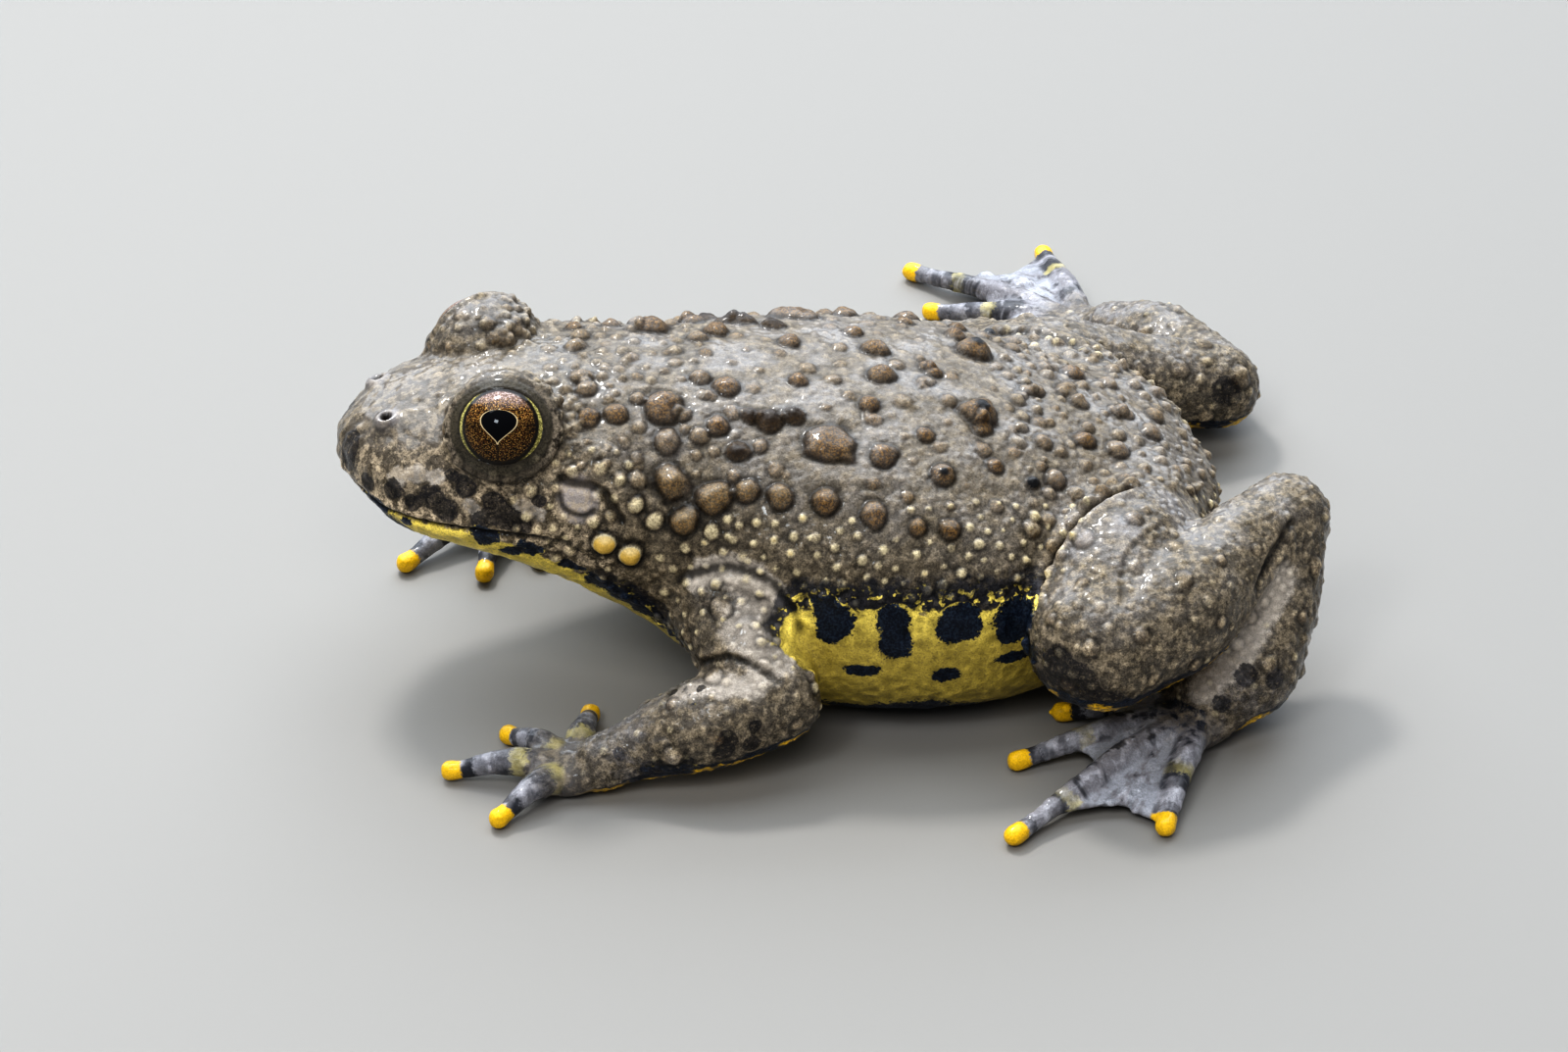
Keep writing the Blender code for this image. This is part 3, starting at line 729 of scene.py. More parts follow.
def evenOut(skin):
    mesh = skin.data
    mean = neighbourMean(mesh)
    places = verticesOf(mesh)
    for _ in range(skinBuild["evening"]):
        places += skinBuild["pull"] * (mean(places) - places)
        places -= skinBuild["push"] * (mean(places) - places)
    _, digitGap, _ = limbPlace(places, digitPaths)
    soft = smoothStep(*skinBuild["digitClearance"], digitGap)
    for side in sides:
        soft *= smoothStep(*skinBuild["eyeClearance"], gapTo(places, eyeFrame(side)[0]))
        soft *= smoothStep(*skinBuild["nostrilClearance"], gapTo(places, head["nostrils"][side]))
    for _ in range(skinBuild["softening"]):
        places += (0.5 * soft)[:, None] * (mean(places) - places)
    setVertices(mesh, places)
    subdivide = skin.modifiers.new("Subdivide", "SUBSURF")
    subdivide.levels = subdivide.render_levels = 1
    applyModifiers(skin)


evenOut(skin)
report(f"skin evened out, {len(skin.data.polygons)} faces")


def footRays(places):
    # distance from the nearest palm or sole, and the bearing of a place round it
    palmWay, palmTurn = np.full(len(places), far), np.zeros(len(places))
    for spec in palms.values():
        palm = np.array(spec["palm"])
        way, (across, along, _) = gapTo(places, palm), (places - palm).T
        closer = way < palmWay
        palmWay[closer] = way[closer]
        palmTurn[closer] = np.arctan2(along, across)[closer]
    return palmWay, palmTurn


places = verticesOf(skin.data)
x, y, z = places.T  # views, which follow every later change of the places
normals = normalsOf(skin.data)
palmNear, palmTurn = footRays(places)
trunkOut, angle = trunkPlace(places)
limbNear, digitGap, tipWay = limbPlace(places, digitPaths)

bellyBorder = {-22: 11.2, -18: 11.4, -16: 11.3, -14: 10.8, -12: 9.9, -10: 8.7, -8: 7.2, -6: 5.0, -4: 4.2,
               -2: 6.0, 0: 8.3, 3: 8.6, 8: 8.4, 12: 8.0, 15: 6.6, 18: 5.4, 23: 5.0}

zones = {
    # where each zone begins and where it is complete
    "trunk": (1.22, 1.06),  # how far out
    "digits": (2.2, 1.1), "digitsHeight": (3.0, 2.0),
    "head": (-7.5, -9.5), "rump": (11, 16), "snout": (-14.5, -17.5),  # along x
    "back": (28, 42),  # degrees
    "borderWidth": 1.6,
}
onTrunk = smoothStep(*zones["trunk"], trunkOut)
onDigits = smoothStep(*zones["digits"], digitGap) * smoothStep(*zones["digitsHeight"], z)
onLimb = 1 - onTrunk
onHead = smoothStep(*zones["head"], x) * onTrunk
onBack = smoothStep(*zones["back"], angle) * onTrunk
onRump = smoothStep(*zones["rump"], x) * onTrunk
bellyShare = np.clip(0.5 + (linesAt(bellyBorder, x) - z) / zones["borderWidth"], 0, 1) * onTrunk


# relief of the skin: each step adds to the height along the normals

height = np.zeros(len(places))
markNames = ("ochre", "blackTip", "pearl", "ring", "lid", "upperLid", "lowerLid", "innerLid", "groove",
             "blotch", "stain", "smoothPatch", "wetPatch", "palePatch", "nostrilRing")
marks = {name: np.zeros(len(places)) for name in markNames}
everywhere = slice(None)
tree = kdtree.KDTree(len(places))
for k, place in enumerate(places.tolist()):
    tree.insert(place, k)
tree.balance()
surface = bvhtree.BVHTree.FromObject(skin, bpy.context.evaluated_depsgraph_get())
report("places on the animal found")

unround = softNoise(places, 0.8, 61)  # keeps the bumps from being true circles


def mark(name, where, values):
    # raises a mark to at least these values
    marks[name][where] = np.maximum(marks[name][where], values)


def near(place, reach):
    found = tree.find_range(place, reach)
    return np.array([k for _, k, _ in found], int), np.array([gap for _, _, gap in found])


def onSkin(place):
    return surface.find_nearest(place)[0]


lids = {
    # degrees are outwards from the opening's edge
    "reach": 4.6,  # mm from the eye's middle that is shaped
    "bulge": (3.75, 3.2),  # mm, where the lids' detail ends
    "blend": (13, 3),  # degrees over which the lid runs into the skin
    "dive": -7,  # degrees over which the skin goes under the ball
    "thickening": 0.16,
    "swell": (0.13, 4.0, 5.5),  # height, degrees inside the ring's end, width in degrees
    "innerCrease": (0.09, 9.5, 1.8),  # depth, place, width
    "outerEdge": (0.28, 2.5, 2.4),  # depth, degrees outside the ring's end, width
}


def shapeEyes():
    # skin round each opening is set by the angle from the line of sight
    for side in sides:
        centre, *ways = eyeFrame(side)
        close = gapTo(places, centre) < lids["reach"]
        offset, gap = places[close] - np.array(centre), gapTo(places, centre)[close]
        local = offset @ np.array(ways).T / gap[:, None]
        bearing = np.arctan2(local[:, 1], local[:, 0])
        theta = np.degrees(np.arccos(np.clip(local[:, 2], -1, 1)))
        opening = 1 / np.sqrt((np.cos(bearing) / head["openingAcross"]) ** 2
                              + (np.sin(bearing) / head["openingUp"]) ** 2)
        out = theta - opening  # degrees outside the opening
        margin = head["eyeRadius"] + head["lidMargin"] + lids["thickening"] * smoothStep(0, 9, out)
        inside = head["eyeRadius"] - head["hiddenDepth"]
        held = np.where(out < 0, inside + (margin - inside) * smoothStep(lids["dive"], 0, out), margin)
        blendOut = smoothStep(*lids["blend"], out)
        reach = gap * (1 - blendOut) + held * blendOut
        lower = smoothStep(0.35, -0.35, local[:, 1])
        rear = smoothStep(-0.2, 0.7, -side * local[:, 0])
        least, more, below = head["lidRing"]
        ringEnd = least + more * rear + below * lower  # the lid's ring ends here in an angular edge
        crisp = np.clip(0.35 + 0.65 * lower + 0.4 * (1 - rear), 0, 1) * (1 - 0.6 * rear * (1 - lower))
        crisp = crisp * head["lidCrispness"][side]
        onBulge = smoothStep(*lids["bulge"], gap)
        swell, swellIn, swellWidth = lids["swell"]
        crease, creaseOut, creaseWidth = lids["innerCrease"]
        drop, dropOut, dropWidth = lids["outerEdge"]
        shape = swell * bell(out - ringEnd + swellIn, swellWidth)
        shape = shape - crease * bell(out - creaseOut, creaseWidth)
        shape = shape - drop * bell(out - ringEnd - dropOut, dropWidth) * crisp
        reach = reach + shape * onBulge
        places[close] = np.array(centre) + offset / gap[:, None] * reach[:, None]
        mark("lid", close, smoothStep(ringEnd + 1.5, ringEnd - 2, out) * onBulge)
        mark("upperLid", close, smoothStep(0.05, 0.7, local[:, 1]) * smoothStep(6, 10, out))
        mark("lowerLid", close, smoothStep(-0.25, -0.75, local[:, 1]))
        mark("innerLid", close, smoothStep(10, 8, out))
        # painted shade in the lid's creases and where the skin dives under the eyeball
        mark("groove", close, onBulge * (0.9 * bell(out - ringEnd - 2.2, 1.9) * crisp
                                         + 0.55 * bell(out - 9.5, 1.5) + smoothStep(2, -3, out)))


def groove(path, depth, width, ridge, ridgeWay, dark):
    # a crease along a path on the skin, with the skin swelling beside it on one side and painted shade
    # darkening the crease
    path = [onSkin(p) for p in path]
    low = np.min([tuple(p) for p in path], axis=0) - 2.5
    high = np.max([tuple(p) for p in path], axis=0) + 2.5
    close = ((places > low) & (places < high)).all(axis=1)
    gap, where = nearPath(places[close], path)
    fade = smoothStep(0, 0.12, where) * smoothStep(1, 0.88, where)
    height[close] -= depth * bell(gap, width) * fade
    # painted shade along the crease
    mark("groove", close, dark * bell(gap, width * 1.1) * fade)
    if ridge:
        beside, _ = nearPath(places[close], [p + Vector(ridgeWay) * 2.2 * width for p in path])
        height[close] += ridge * bell(beside, 1.6 * width) * fade


folds = {
    # name: (sides, path as on the right side, depth, width, ridge, way to the ridge, how dark the crease's
    # painted shade is)
    "behindEye": ((-1, 1), [(-11.6, 6.9, 14.6), (-10.8, 7.2, 14.2), (-9.6, 7.3, 13.9), (-8.8, 7.6, 13.0),
                            (-8.2, 8.0, 11.9)], 0.26, 0.26, 0.16, (0.4, 0, 1.0), 0.6),
    "patchEdge": ((-1, 1), [(-11.4, 7.3, 13.9), (-11.2, 7.6, 13.0), (-10.3, 7.8, 12.6), (-9.5, 7.8, 13.0)],
                  0.10, 0.13, 0.0, (0, 0, 1), 0.5),
    "shoulder": ((-1, 1), [(-6.0, 8.6, 8.6), (-5.0, 9.1, 9.6), (-3.2, 9.7, 10.2), (-1.4, 10.2, 9.8),
                           (-0.2, 10.8, 8.4), (0.2, 11.2, 6.6)], 0.18, 0.28, 0.12, (0, 0.2, -1.0), 0.25),
    "shoulderTop": ((-1, 1), [(-4.2, 9.0, 11.2), (-2.2, 9.8, 11.3), (-0.2, 10.7, 10.2), (0.9, 11.4, 8.4)],
                    0.05, 0.35, 0.05, (0.5, 0, 0.8), 0.0),
    "elbow": ((-1, 1), [(-5.0, 11.2, 5.6), (-4.4, 11.7, 6.2), (-3.6, 12.4, 6.8), (-2.1, 13.2, 6.6),
                        (-1.0, 13.8, 5.8)], 0.22, 0.20, 0.08, (0.3, 0, 0.8), 0.4),
    "groinLeft": ((-1,), [(17.6, 6.5, 12.2), (16.6, 7.4, 12.2), (15.2, 8.3, 12.1), (13.5, 9.6, 11.3),
                          (12.2, 10.9, 9.9), (11.6, 12.2, 9.0), (11.4, 13.2, 8.4)],
                  0.75, 0.26, 0.26, (0.7, 0.3, 0.1), 1.1),
    "groinRight": ((1,), [(11.9, 11.5, 9.8), (13.2, 10.9, 11.0), (15.2, 9.4, 12.0), (17.5, 7.4, 12.0)],
                   0.28, 0.32, 0.14, (0.4, 0.3, 0.3), 0.5),
    "kneeFold": ((-1,), [(19.4, 8.8, 11.3), (17.6, 10.4, 11.4), (16.2, 12.0, 11.1), (15.7, 13.7, 10.4),
                         (15.6, 14.9, 9.7)], 0.05, 0.16, 0.05, (-0.6, 0, 0.3), 0.25),
    "heelFold": ((-1,), [(25.3, 8.2, 10.4), (24.4, 9.6, 9.9), (23.4, 10.9, 9.2), (22.6, 12.1, 8.3)],
                 0.26, 0.30, 0.10, (-0.6, 0, 0.5), 0.35),
}


def shapeFolds():
    for foldSides, path, depth, width, ridge, way, dark in folds.values():
        for side in foldSides:
            smooth = [place for place, _ in smoothPath([(mirrored(p, side), 1.0) for p in path], 5)]
            groove(smooth, depth, width, ridge, mirrored(way, side), dark)


mouthLine = {
    "depth": 0.24,
    "width": 0.12,
    "upperLip": (0.12, 0.36, 0.30),  # swelling, how far from the line, width
    "lowerLip": (0.04, 0.30, 0.25),
    # how dark the painted shade along the mouth line is, and its width
    "dark": 0.85,
    "darkWidth": 0.13,
    "fading": 0.14,  # share of the line that dies away at each corner
}
nostrilHole = {
    "shift": (-0.1, 0.15, 0.2),
    "reach": 1.6,
    "rim": (0.12, 0.42, 0.30),  # swelling, how far from the middle, width
    "depth": 0.62,
    "wall": (0.33, 0.10),  # mm from the middle, top and bottom of the wall
    # how dark the painted shade down the hole is, and where on the wall it starts
    "dark": 1.3,
    "darkWall": (0.33, 0.22),
    "paleRing": (0.95, 0.5),
}


def shapeMouth():
    whole = [mirrored(p, -1) for p in head["mouth"][:0:-1]] + [Vector(p) for p in head["mouth"]]
    whole = [onSkin(p) for p in whole]
    close = (x < -8.5) & (z < 15) & (z > 8)
    gap, where = nearPath(places[close], whole)
    rise = z[close] - np.interp(where, np.linspace(0, 1, len(whole)), [p.z for p in whole])
    fading = mouthLine["fading"]
    fade = smoothStep(0, fading, where) * smoothStep(1, 1 - fading, where)
    shape = -mouthLine["depth"] * bell(gap, mouthLine["width"])
    for lip, onLip in (("upperLip", rise > 0), ("lowerLip", rise < 0)):
        swelling, beside, width = mouthLine[lip]
        shape = shape + swelling * bell(gap - beside, width) * onLip
    height[close] += fade * shape
    # painted shade along the mouth line
    mark("groove", close, mouthLine["dark"] * bell(gap, mouthLine["darkWidth"]) * fade)


def shapeNostrils():
    rim, rimAt, rimWidth = nostrilHole["rim"]
    for side in sides:
        place = onSkin(Vector(head["nostrils"][side]) + mirrored(nostrilHole["shift"], side))
        indices, gap = near(place, nostrilHole["reach"])
        hole = nostrilHole["depth"] * smoothStep(*nostrilHole["wall"], gap)
        height[indices] += rim * bell(gap - rimAt, rimWidth) - hole
        # painted shade down the nostril's hole
        mark("groove", indices, nostrilHole["dark"] * smoothStep(*nostrilHole["darkWall"], gap))
        mark("nostrilRing", indices, smoothStep(*nostrilHole["paleRing"], gap))


# warts: rows of (place along x, degrees above the side, radius, kind) for the left flank
warts = {
    "neck": [(-9.7, 48, 0.55, "ochre"), (-8.3, 51, 0.6, "ochre"), (-9.6, 64, 0.6, "plain"),
             (-6.8, 119, 0.5, "plain"), (-9.9, 104, 0.6, "plain"), (-7.7, 17, 0.5, "pale"),
             (-6.8, 14, 0.5, "pale")],
    "glands": [(-9.3, 0, 0.6, "yellow"), (-8.0, -1, 0.65, "yellow")],
    "upper": [(-6.0, 59, 1.0, "ochre"), (-3.3, 54, 0.65, "ochre"), (-2.7, 72, 0.7, "ochre"),
              (-1.6, 59, 0.55, "dark"), (-0.7, 58, 0.72, "dark"), (0.4, 60, 0.6, "dark"),
              (1.0, 77, 0.6, "ochre"), (4.4, 66, 0.55, "ochre"), (5.3, 82, 0.75, "ochre"),
              (10.0, 66, 1.0, "blackTip"), (15.3, 60, 0.65, "ochre"), (-3.7, 106, 0.6, "plain"),
              (-4.8, 127, 0.5, "plain"), (7.8, 92, 0.5, "ochre"), (9.7, 121, 0.6, "ochre"),
              (12.9, 88, 0.5, "plain"), (15.4, 88, 0.6, "plain"), (17.5, 90, 0.5, "plain"),
              (19.1, 78, 0.6, "plain")],
    "middle": [(-5.9, 44, 0.7, "plain"), (-4.3, 49, 0.5, "plain"), (-2.5, 45, 0.6, "dark"),
               (-1.3, 48, 0.4, "plain"), (2.1, 49, 1.15, "broad"), (4.7, 46, 0.75, "ochre"),
               (7.0, 54, 0.5, "ochre"), (7.6, 40, 0.65, "blackTip"), (10.4, 44, 0.5, "ochre"),
               (12.2, 39, 0.4, "bead"), (13.1, 56, 0.5, "plain"), (13.4, 41, 0.6, "plain"),
               (17.0, 57, 0.6, "plain")],
    "flank": [(-5.9, 29, 0.85, "cone"), (-5.3, 18, 0.7, "cone"), (-4.0, 18, 0.4, "pale"),
              (-3.7, 29, 0.8, "cone"), (-2.2, 33, 0.6, "cone"), (-0.5, 33, 0.65, "cone"),
              (1.6, 32, 0.75, "ochre"), (4.0, 29, 0.7, "ochre"), (6.1, 26, 0.5, "ochre"),
              (7.7, 25, 0.55, "ochre")],
}
wartKinds = {
    # height over radius, sharpness of the dome, ochre, black (-1 dark brown, 1 a point, 2 a bead), pale,
    # how far it is drawn out along x
    "plain": (0.60, 1.1, 0.60, 0.0, 0.05, 1.0),
    "ochre": (0.62, 1.0, 1.0, 0.0, 0.0, 1.0),
    "broad": (0.42, 0.75, 1.0, 0.0, 0.0, 1.2),
    "dark": (0.65, 0.9, 1.0, -1.0, 0.0, 1.1),
    "blackTip": (0.70, 1.1, 1.0, 1.0, 0.0, 1.0),
    "bead": (0.8, 0.8, 0.2, 2.0, 0.0, 1.0),
    "cone": (0.74, 1.1, 1.0, 0.0, 0.12, 1.0),
    "pale": (0.55, 1.0, 0.2, 0.0, 0.8, 1.0),
    "yellow": (0.85, 0.85, 0.0, 0.0, 2.6, 1.0),
}
wartStray = {"along": 0.5, "turn": 4.0, "seed": 11}
bumpShape = {
    "reach": 1.5,  # radii that one bump touches
    "unround": 0.24,
    "foot": (0.09, 1.12, 0.14),  # hollow round the bump: share of the rise, radii out, width
    "ring": (0.98, 0.17),  # dark foot, its outline darkened further as painted shade: radii out, width
    "darkTop": 1.4,
    "blackFrom": (0.75, 0.25),  # share of the height: a black point, or nearly the whole dome
    "pearlFrom": (0.10, 0.8),
}


def stamp(place, radius, rise, sharpness, kind=None, stretch=1.0):
    # one rounded bump; returns the indices it covers and their share of its height
    indices, gap = near(place, radius * bumpShape["reach"] * stretch)
    if not len(indices):
        return indices, gap
    if stretch != 1:
        offset = places[indices] - np.array(place)
        gap = np.sqrt((offset[:, 0] / stretch) ** 2 + offset[:, 1] ** 2 + offset[:, 2] ** 2)
    gap = gap * (1 + bumpShape["unround"] * unround[indices])
    share = np.clip(1 - (gap / radius) ** 2, 0, 1) ** sharpness
    hollow, hollowAt, hollowWidth = bumpShape["foot"]
    height[indices] += rise * share - hollow * rise * bell(gap / radius - hollowAt, hollowWidth)
    if kind:
        ochre, black, pale, dark = kind
        ringAt, ringWidth = bumpShape["ring"]
        # dark foot: the bump's outline, partly painted shade where it meets the skin
        mark("ring", indices, dark * bell(gap / radius - ringAt, ringWidth))
        if black < 0:
            mark("ring", indices, bumpShape["darkTop"] * share**0.5)
        mark("ochre", indices, ochre * share**0.4)
        blackFrom = bumpShape["blackFrom"][black > 1]
        mark("blackTip", indices, black * smoothStep(blackFrom, blackFrom + 0.2, share))
        mark("pearl", indices, pale * smoothStep(*bumpShape["pearlFrom"], share))
    return indices, share


def placeWarts():
    rng = random.Random(wartStray["seed"])
    covered = np.zeros(len(places))
    for side in sides:
        for along, turn, radius, kind in itertools.chain(*warts.values()):
            if side > 0:
                along += rng.uniform(-1, 1) * wartStray["along"]
                turn += rng.uniform(-1, 1) * wartStray["turn"]
            top, bottom, _, _ = trunkSection(along)
            middle = Vector((along, 0, (top + bottom) / 2))
            way = Vector((0, side * math.cos(math.radians(turn)), math.sin(math.radians(turn))))
            hit = surface.ray_cast(middle + way * 40, -way)[0]
            tall, sharpness, *finish, stretch = wartKinds[kind]
            indices, _ = stamp(hit, radius, radius * tall, sharpness, (*finish, 1.0), stretch)
            covered[indices] = 1
    return covered


granules = {
    # name: (spacing, least and most radius, rise, seed, sharpness, colour marks, whether off the warts);
    # the colour marks are how ochre, black and pale a granule is, and how dark its foot, partly painted
    # shade
    "lid tubercles": (0.62, (0.24, 0.38), 0.20, 1, 1.1, (0.25, 0, 0.12, 0.5), False),
    "rump cones": (0.95, (0.24, 0.50), 0.30, 2, 1.35, (0.45, 0, 0.12, 0.7), True),
    "back tubercles": (1.45, (0.22, 0.48), 0.19, 3, 1.1, (0.6, 0, 0.04, 0.7), True),
    "flank pearls": (0.78, (0.14, 0.32), 0.18, 4, 1.1, (0.1, 0, 1.05, 0.15), True),
    "cheek pearls": (0.78, (0.18, 0.40), 0.20, 5, 1.2, (0.2, 0, 0.65, 0.35), True),
    "neck tubercles": (0.85, (0.22, 0.46), 0.24, 6, 1.3, (0.4, 0, 0.08, 0.7), True),
    "limb warts": (2.4, (0.34, 0.62), 0.24, 7, 1.0, (0.25, 0, 0.03, 0.6), True),
    "limb tubercles": (1.05, (0.16, 0.34), 0.12, 11, 1.15, (0.05, 0, 0.15, 0.2), True),
    "ankle pearls": (1.5, (0.16, 0.28), 0.08, 12, 1.1, (0, 0, 0.6, 0.1), True),
    "snout granules": (0.75, (0.14, 0.30), 0.05, 8, 1.0, None, False),
    "fine granules": (0.42, (0.15, 0.24), 0.05, 9, 1.0, None, False),
    "digit bumps": (0.80, (0.20, 0.32), 0.05, 10, 1.0, None, False),
}
smoothPatch = {"place": (-10.5, 7.3, 13.3), "radii": (1.05, 2.0, 1.15)}


def scatter(name, share, covered):
    # bumps on randomly drawn points that keep their distance from each other
    spacing, radii, rise, seed, sharpness, kind, offWarts = granules[name]
    rng = np.random.default_rng(seed)
    wanted = np.flatnonzero(share > 0.05)
    wanted = wanted[rng.random(len(wanted)) < share[wanted]]
    rng.shuffle(wanted)
    around = list(itertools.product((-1, 0, 1), repeat=3))
    taken, count = {}, 0
    for index, spot in zip(wanted.tolist(), (places[wanted] / spacing).tolist()):
        i, j, k = cell = tuple(math.floor(v) for v in spot)
        others = (taken.get((i + a, j + b, k + c)) for a, b, c in around)
        if any(other and math.dist(other, spot) < 1 for other in others):
            continue
        taken[cell] = spot
        if offWarts and covered[index]:
            continue
        size = rng.uniform(*radii)
        tall = rise * size / radii[1] * rng.uniform(0.7, 1.15)
        finish = tuple(v * rng.uniform(0.4, 1.15) for v in kind) if kind else None
        stamp(places[index], size, tall, sharpness, finish)
        count += 1
    print(f"    {name}: {count}")


def markSmoothPatch():
    for side in sides:
        offset = (places - np.array(mirrored(smoothPatch["place"], side))) / np.array(smoothPatch["radii"])
        mark("smoothPatch", everywhere, smoothStep(1.1, 0.85, np.linalg.norm(offset, axis=1)))


def placeGranules():
    lid = marks["lid"]
    grooveFree = 1 - smoothStep(0.2, 0.6, marks["groove"])
    notBelly = smoothStep(0.45, 0.25, bellyShare)
    web = smoothStep(0.9, 1.3, digitGap) * onDigits
    plain = (1 - lid) * grooveFree * (1 - web) * notBelly * (1 - marks["smoothPatch"])
    snout = smoothStep(*zones["snout"], x) * onTrunk
    rearLid = np.zeros(len(places))
    for side in sides:
        centre, _, up, _ = eyeFrame(side)
        offset = places - np.array(centre)
        onRear = (offset @ np.array(up) > 0.1) * (offset[:, 0] > 1.3) * (lid < 0.5)
        rearLid += (gapTo(places, centre) < 3.9) * onRear
    uneven = smoothStep(-0.5, 0.5, softNoise(places, 2.2, 51))  # leaves bare and crowded places
    bareLimb = smoothStep(6.5, 4.0, palmNear)  # wrists, ankles and tarsi are nearly bare
    onLimbs = onLimb * (1 - onDigits) * (normals[:, 2] > -0.35) * (1 - web)
    bumpy = onLimbs * (1 - bareLimb)
    shares = {
        "lid tubercles": np.clip(rearLid, 0, 1),
        "rump cones": onRump * plain * (angle > 12) * (0.4 + 0.6 * uneven),
        "back tubercles": onBack * (1 - onRump) * (1 - onHead) * plain * 0.8,
        "flank pearls": onTrunk * smoothStep(34, 26, angle) * smoothStep(-7, -5, x) * plain,
        "cheek pearls": onHead * smoothStep(-14.5, -11, x) * smoothStep(38, 25, angle) * plain,
        "neck tubercles": onTrunk * smoothStep(-11.5, -10, x) * smoothStep(-3, -5, x) * plain * (angle > 25),
        "limb warts": bumpy * (0.2 + 0.8 * uneven),
        "limb tubercles": bumpy * uneven,
        "ankle pearls": onLimbs * bareLimb,
        "snout granules": snout * plain,
        "fine granules": plain * (1 - onDigits) * (1 - snout) * (1 - 0.7 * onLimb),
        "digit bumps": onDigits * (digitGap < 0.9) * (z > 0.5) * (tipWay > 1.4),
    }
    covered = placeWarts()
    report("warts placed")
    for name, share in shares.items():
        scatter(name, share, covered)


shapeEyes()
shapeFolds()
shapeMouth()
shapeNostrils()
markSmoothPatch()
report("lids, folds, mouth and nostrils shaped")
placeGranules()
report("granules placed")

unevenness = {
    # slow swells, ripples and the finest grain: (size, height, seed)
    "swells": [(2.6, 0.10, 21), (1.1, 0.05, 22), (0.42, 0.024, 23), (0.26, 0.016, 24)],
    "wrinkles": (0.75, 0.045, 25),
    "wrinkleSharpness": 1.6,
}


def swellSkin():
    # weaker on lids, digits and webs
    calm = (1 - 0.85 * marks["lid"]) * (1 - 0.8 * onDigits) * (1 - 0.7 * marks["smoothPatch"])
    calm = calm * (1 - 0.4 * onLimb) * smoothStep(1.0, 4.5, palmNear)
    size, tall, seed = unevenness["wrinkles"]
    rise = tall * (1 - np.abs(softNoise(places, size, seed) * unevenness["wrinkleSharpness"]))
    for size, tall, seed in unevenness["swells"]:
        rise = rise + tall * softNoise(places, size, seed)
    return height + calm * rise


def hollowShare(relief, rounds=14):
    # 0 on bumps, 1 in the hollows between them
    mean = neighbourMean(skin.data)
    evened = relief
    for _ in range(rounds):
        evened = mean(evened)
    return np.clip(0.5 + (evened - relief) / 0.12, 0, 1)


relief = swellSkin()
hollows = hollowShare(relief)
places += normals * relief[:, None]
places[:, 2] = np.maximum(places[:, 2], 0.0)
setVertices(skin.data, places)
report("relief pressed into the skin")


# colour fields painted from shapes, in mm
blotches = {
    # blue-black blotches on the yellow of both flanks: (x, height, half length, half height)
    "flank": [(1.9, 8.1, 0.95, 0.9), (1.5, 7.2, 0.55, 0.5), (1.2, 9.2, 0.6, 0.6), (4.7, 8.2, 0.9, 0.85),
              (4.8, 6.7, 0.85, 0.75), (7.4, 7.4, 0.65, 0.65), (8.4, 7.5, 0.6, 0.6), (8.0, 8.3, 0.9, 0.6),
              (10.8, 7.7, 1.1, 1.05), (10.5, 6.8, 0.6, 0.5), (3.1, 5.2, 0.9, 0.36),
              (7.3, 4.8, 0.75, 0.45), (10.7, 5.4, 0.9, 0.34)],
    "jaw": [(-18.9, 11.1, 0.25, 0.3), (-15.1, 11.3, 0.7, 0.8), (-13.9, 10.2, 0.45, 0.35),
            (-12.8, 11.0, 0.75, 0.85), (-10.8, 9.8, 0.8, 0.4), (-9.4, 8.8, 0.9, 0.75),
            (-8.2, 7.8, 0.7, 0.7), (-7.2, 6.9, 0.7, 0.7), (-5.6, 5.6, 0.7, 0.5)],
}
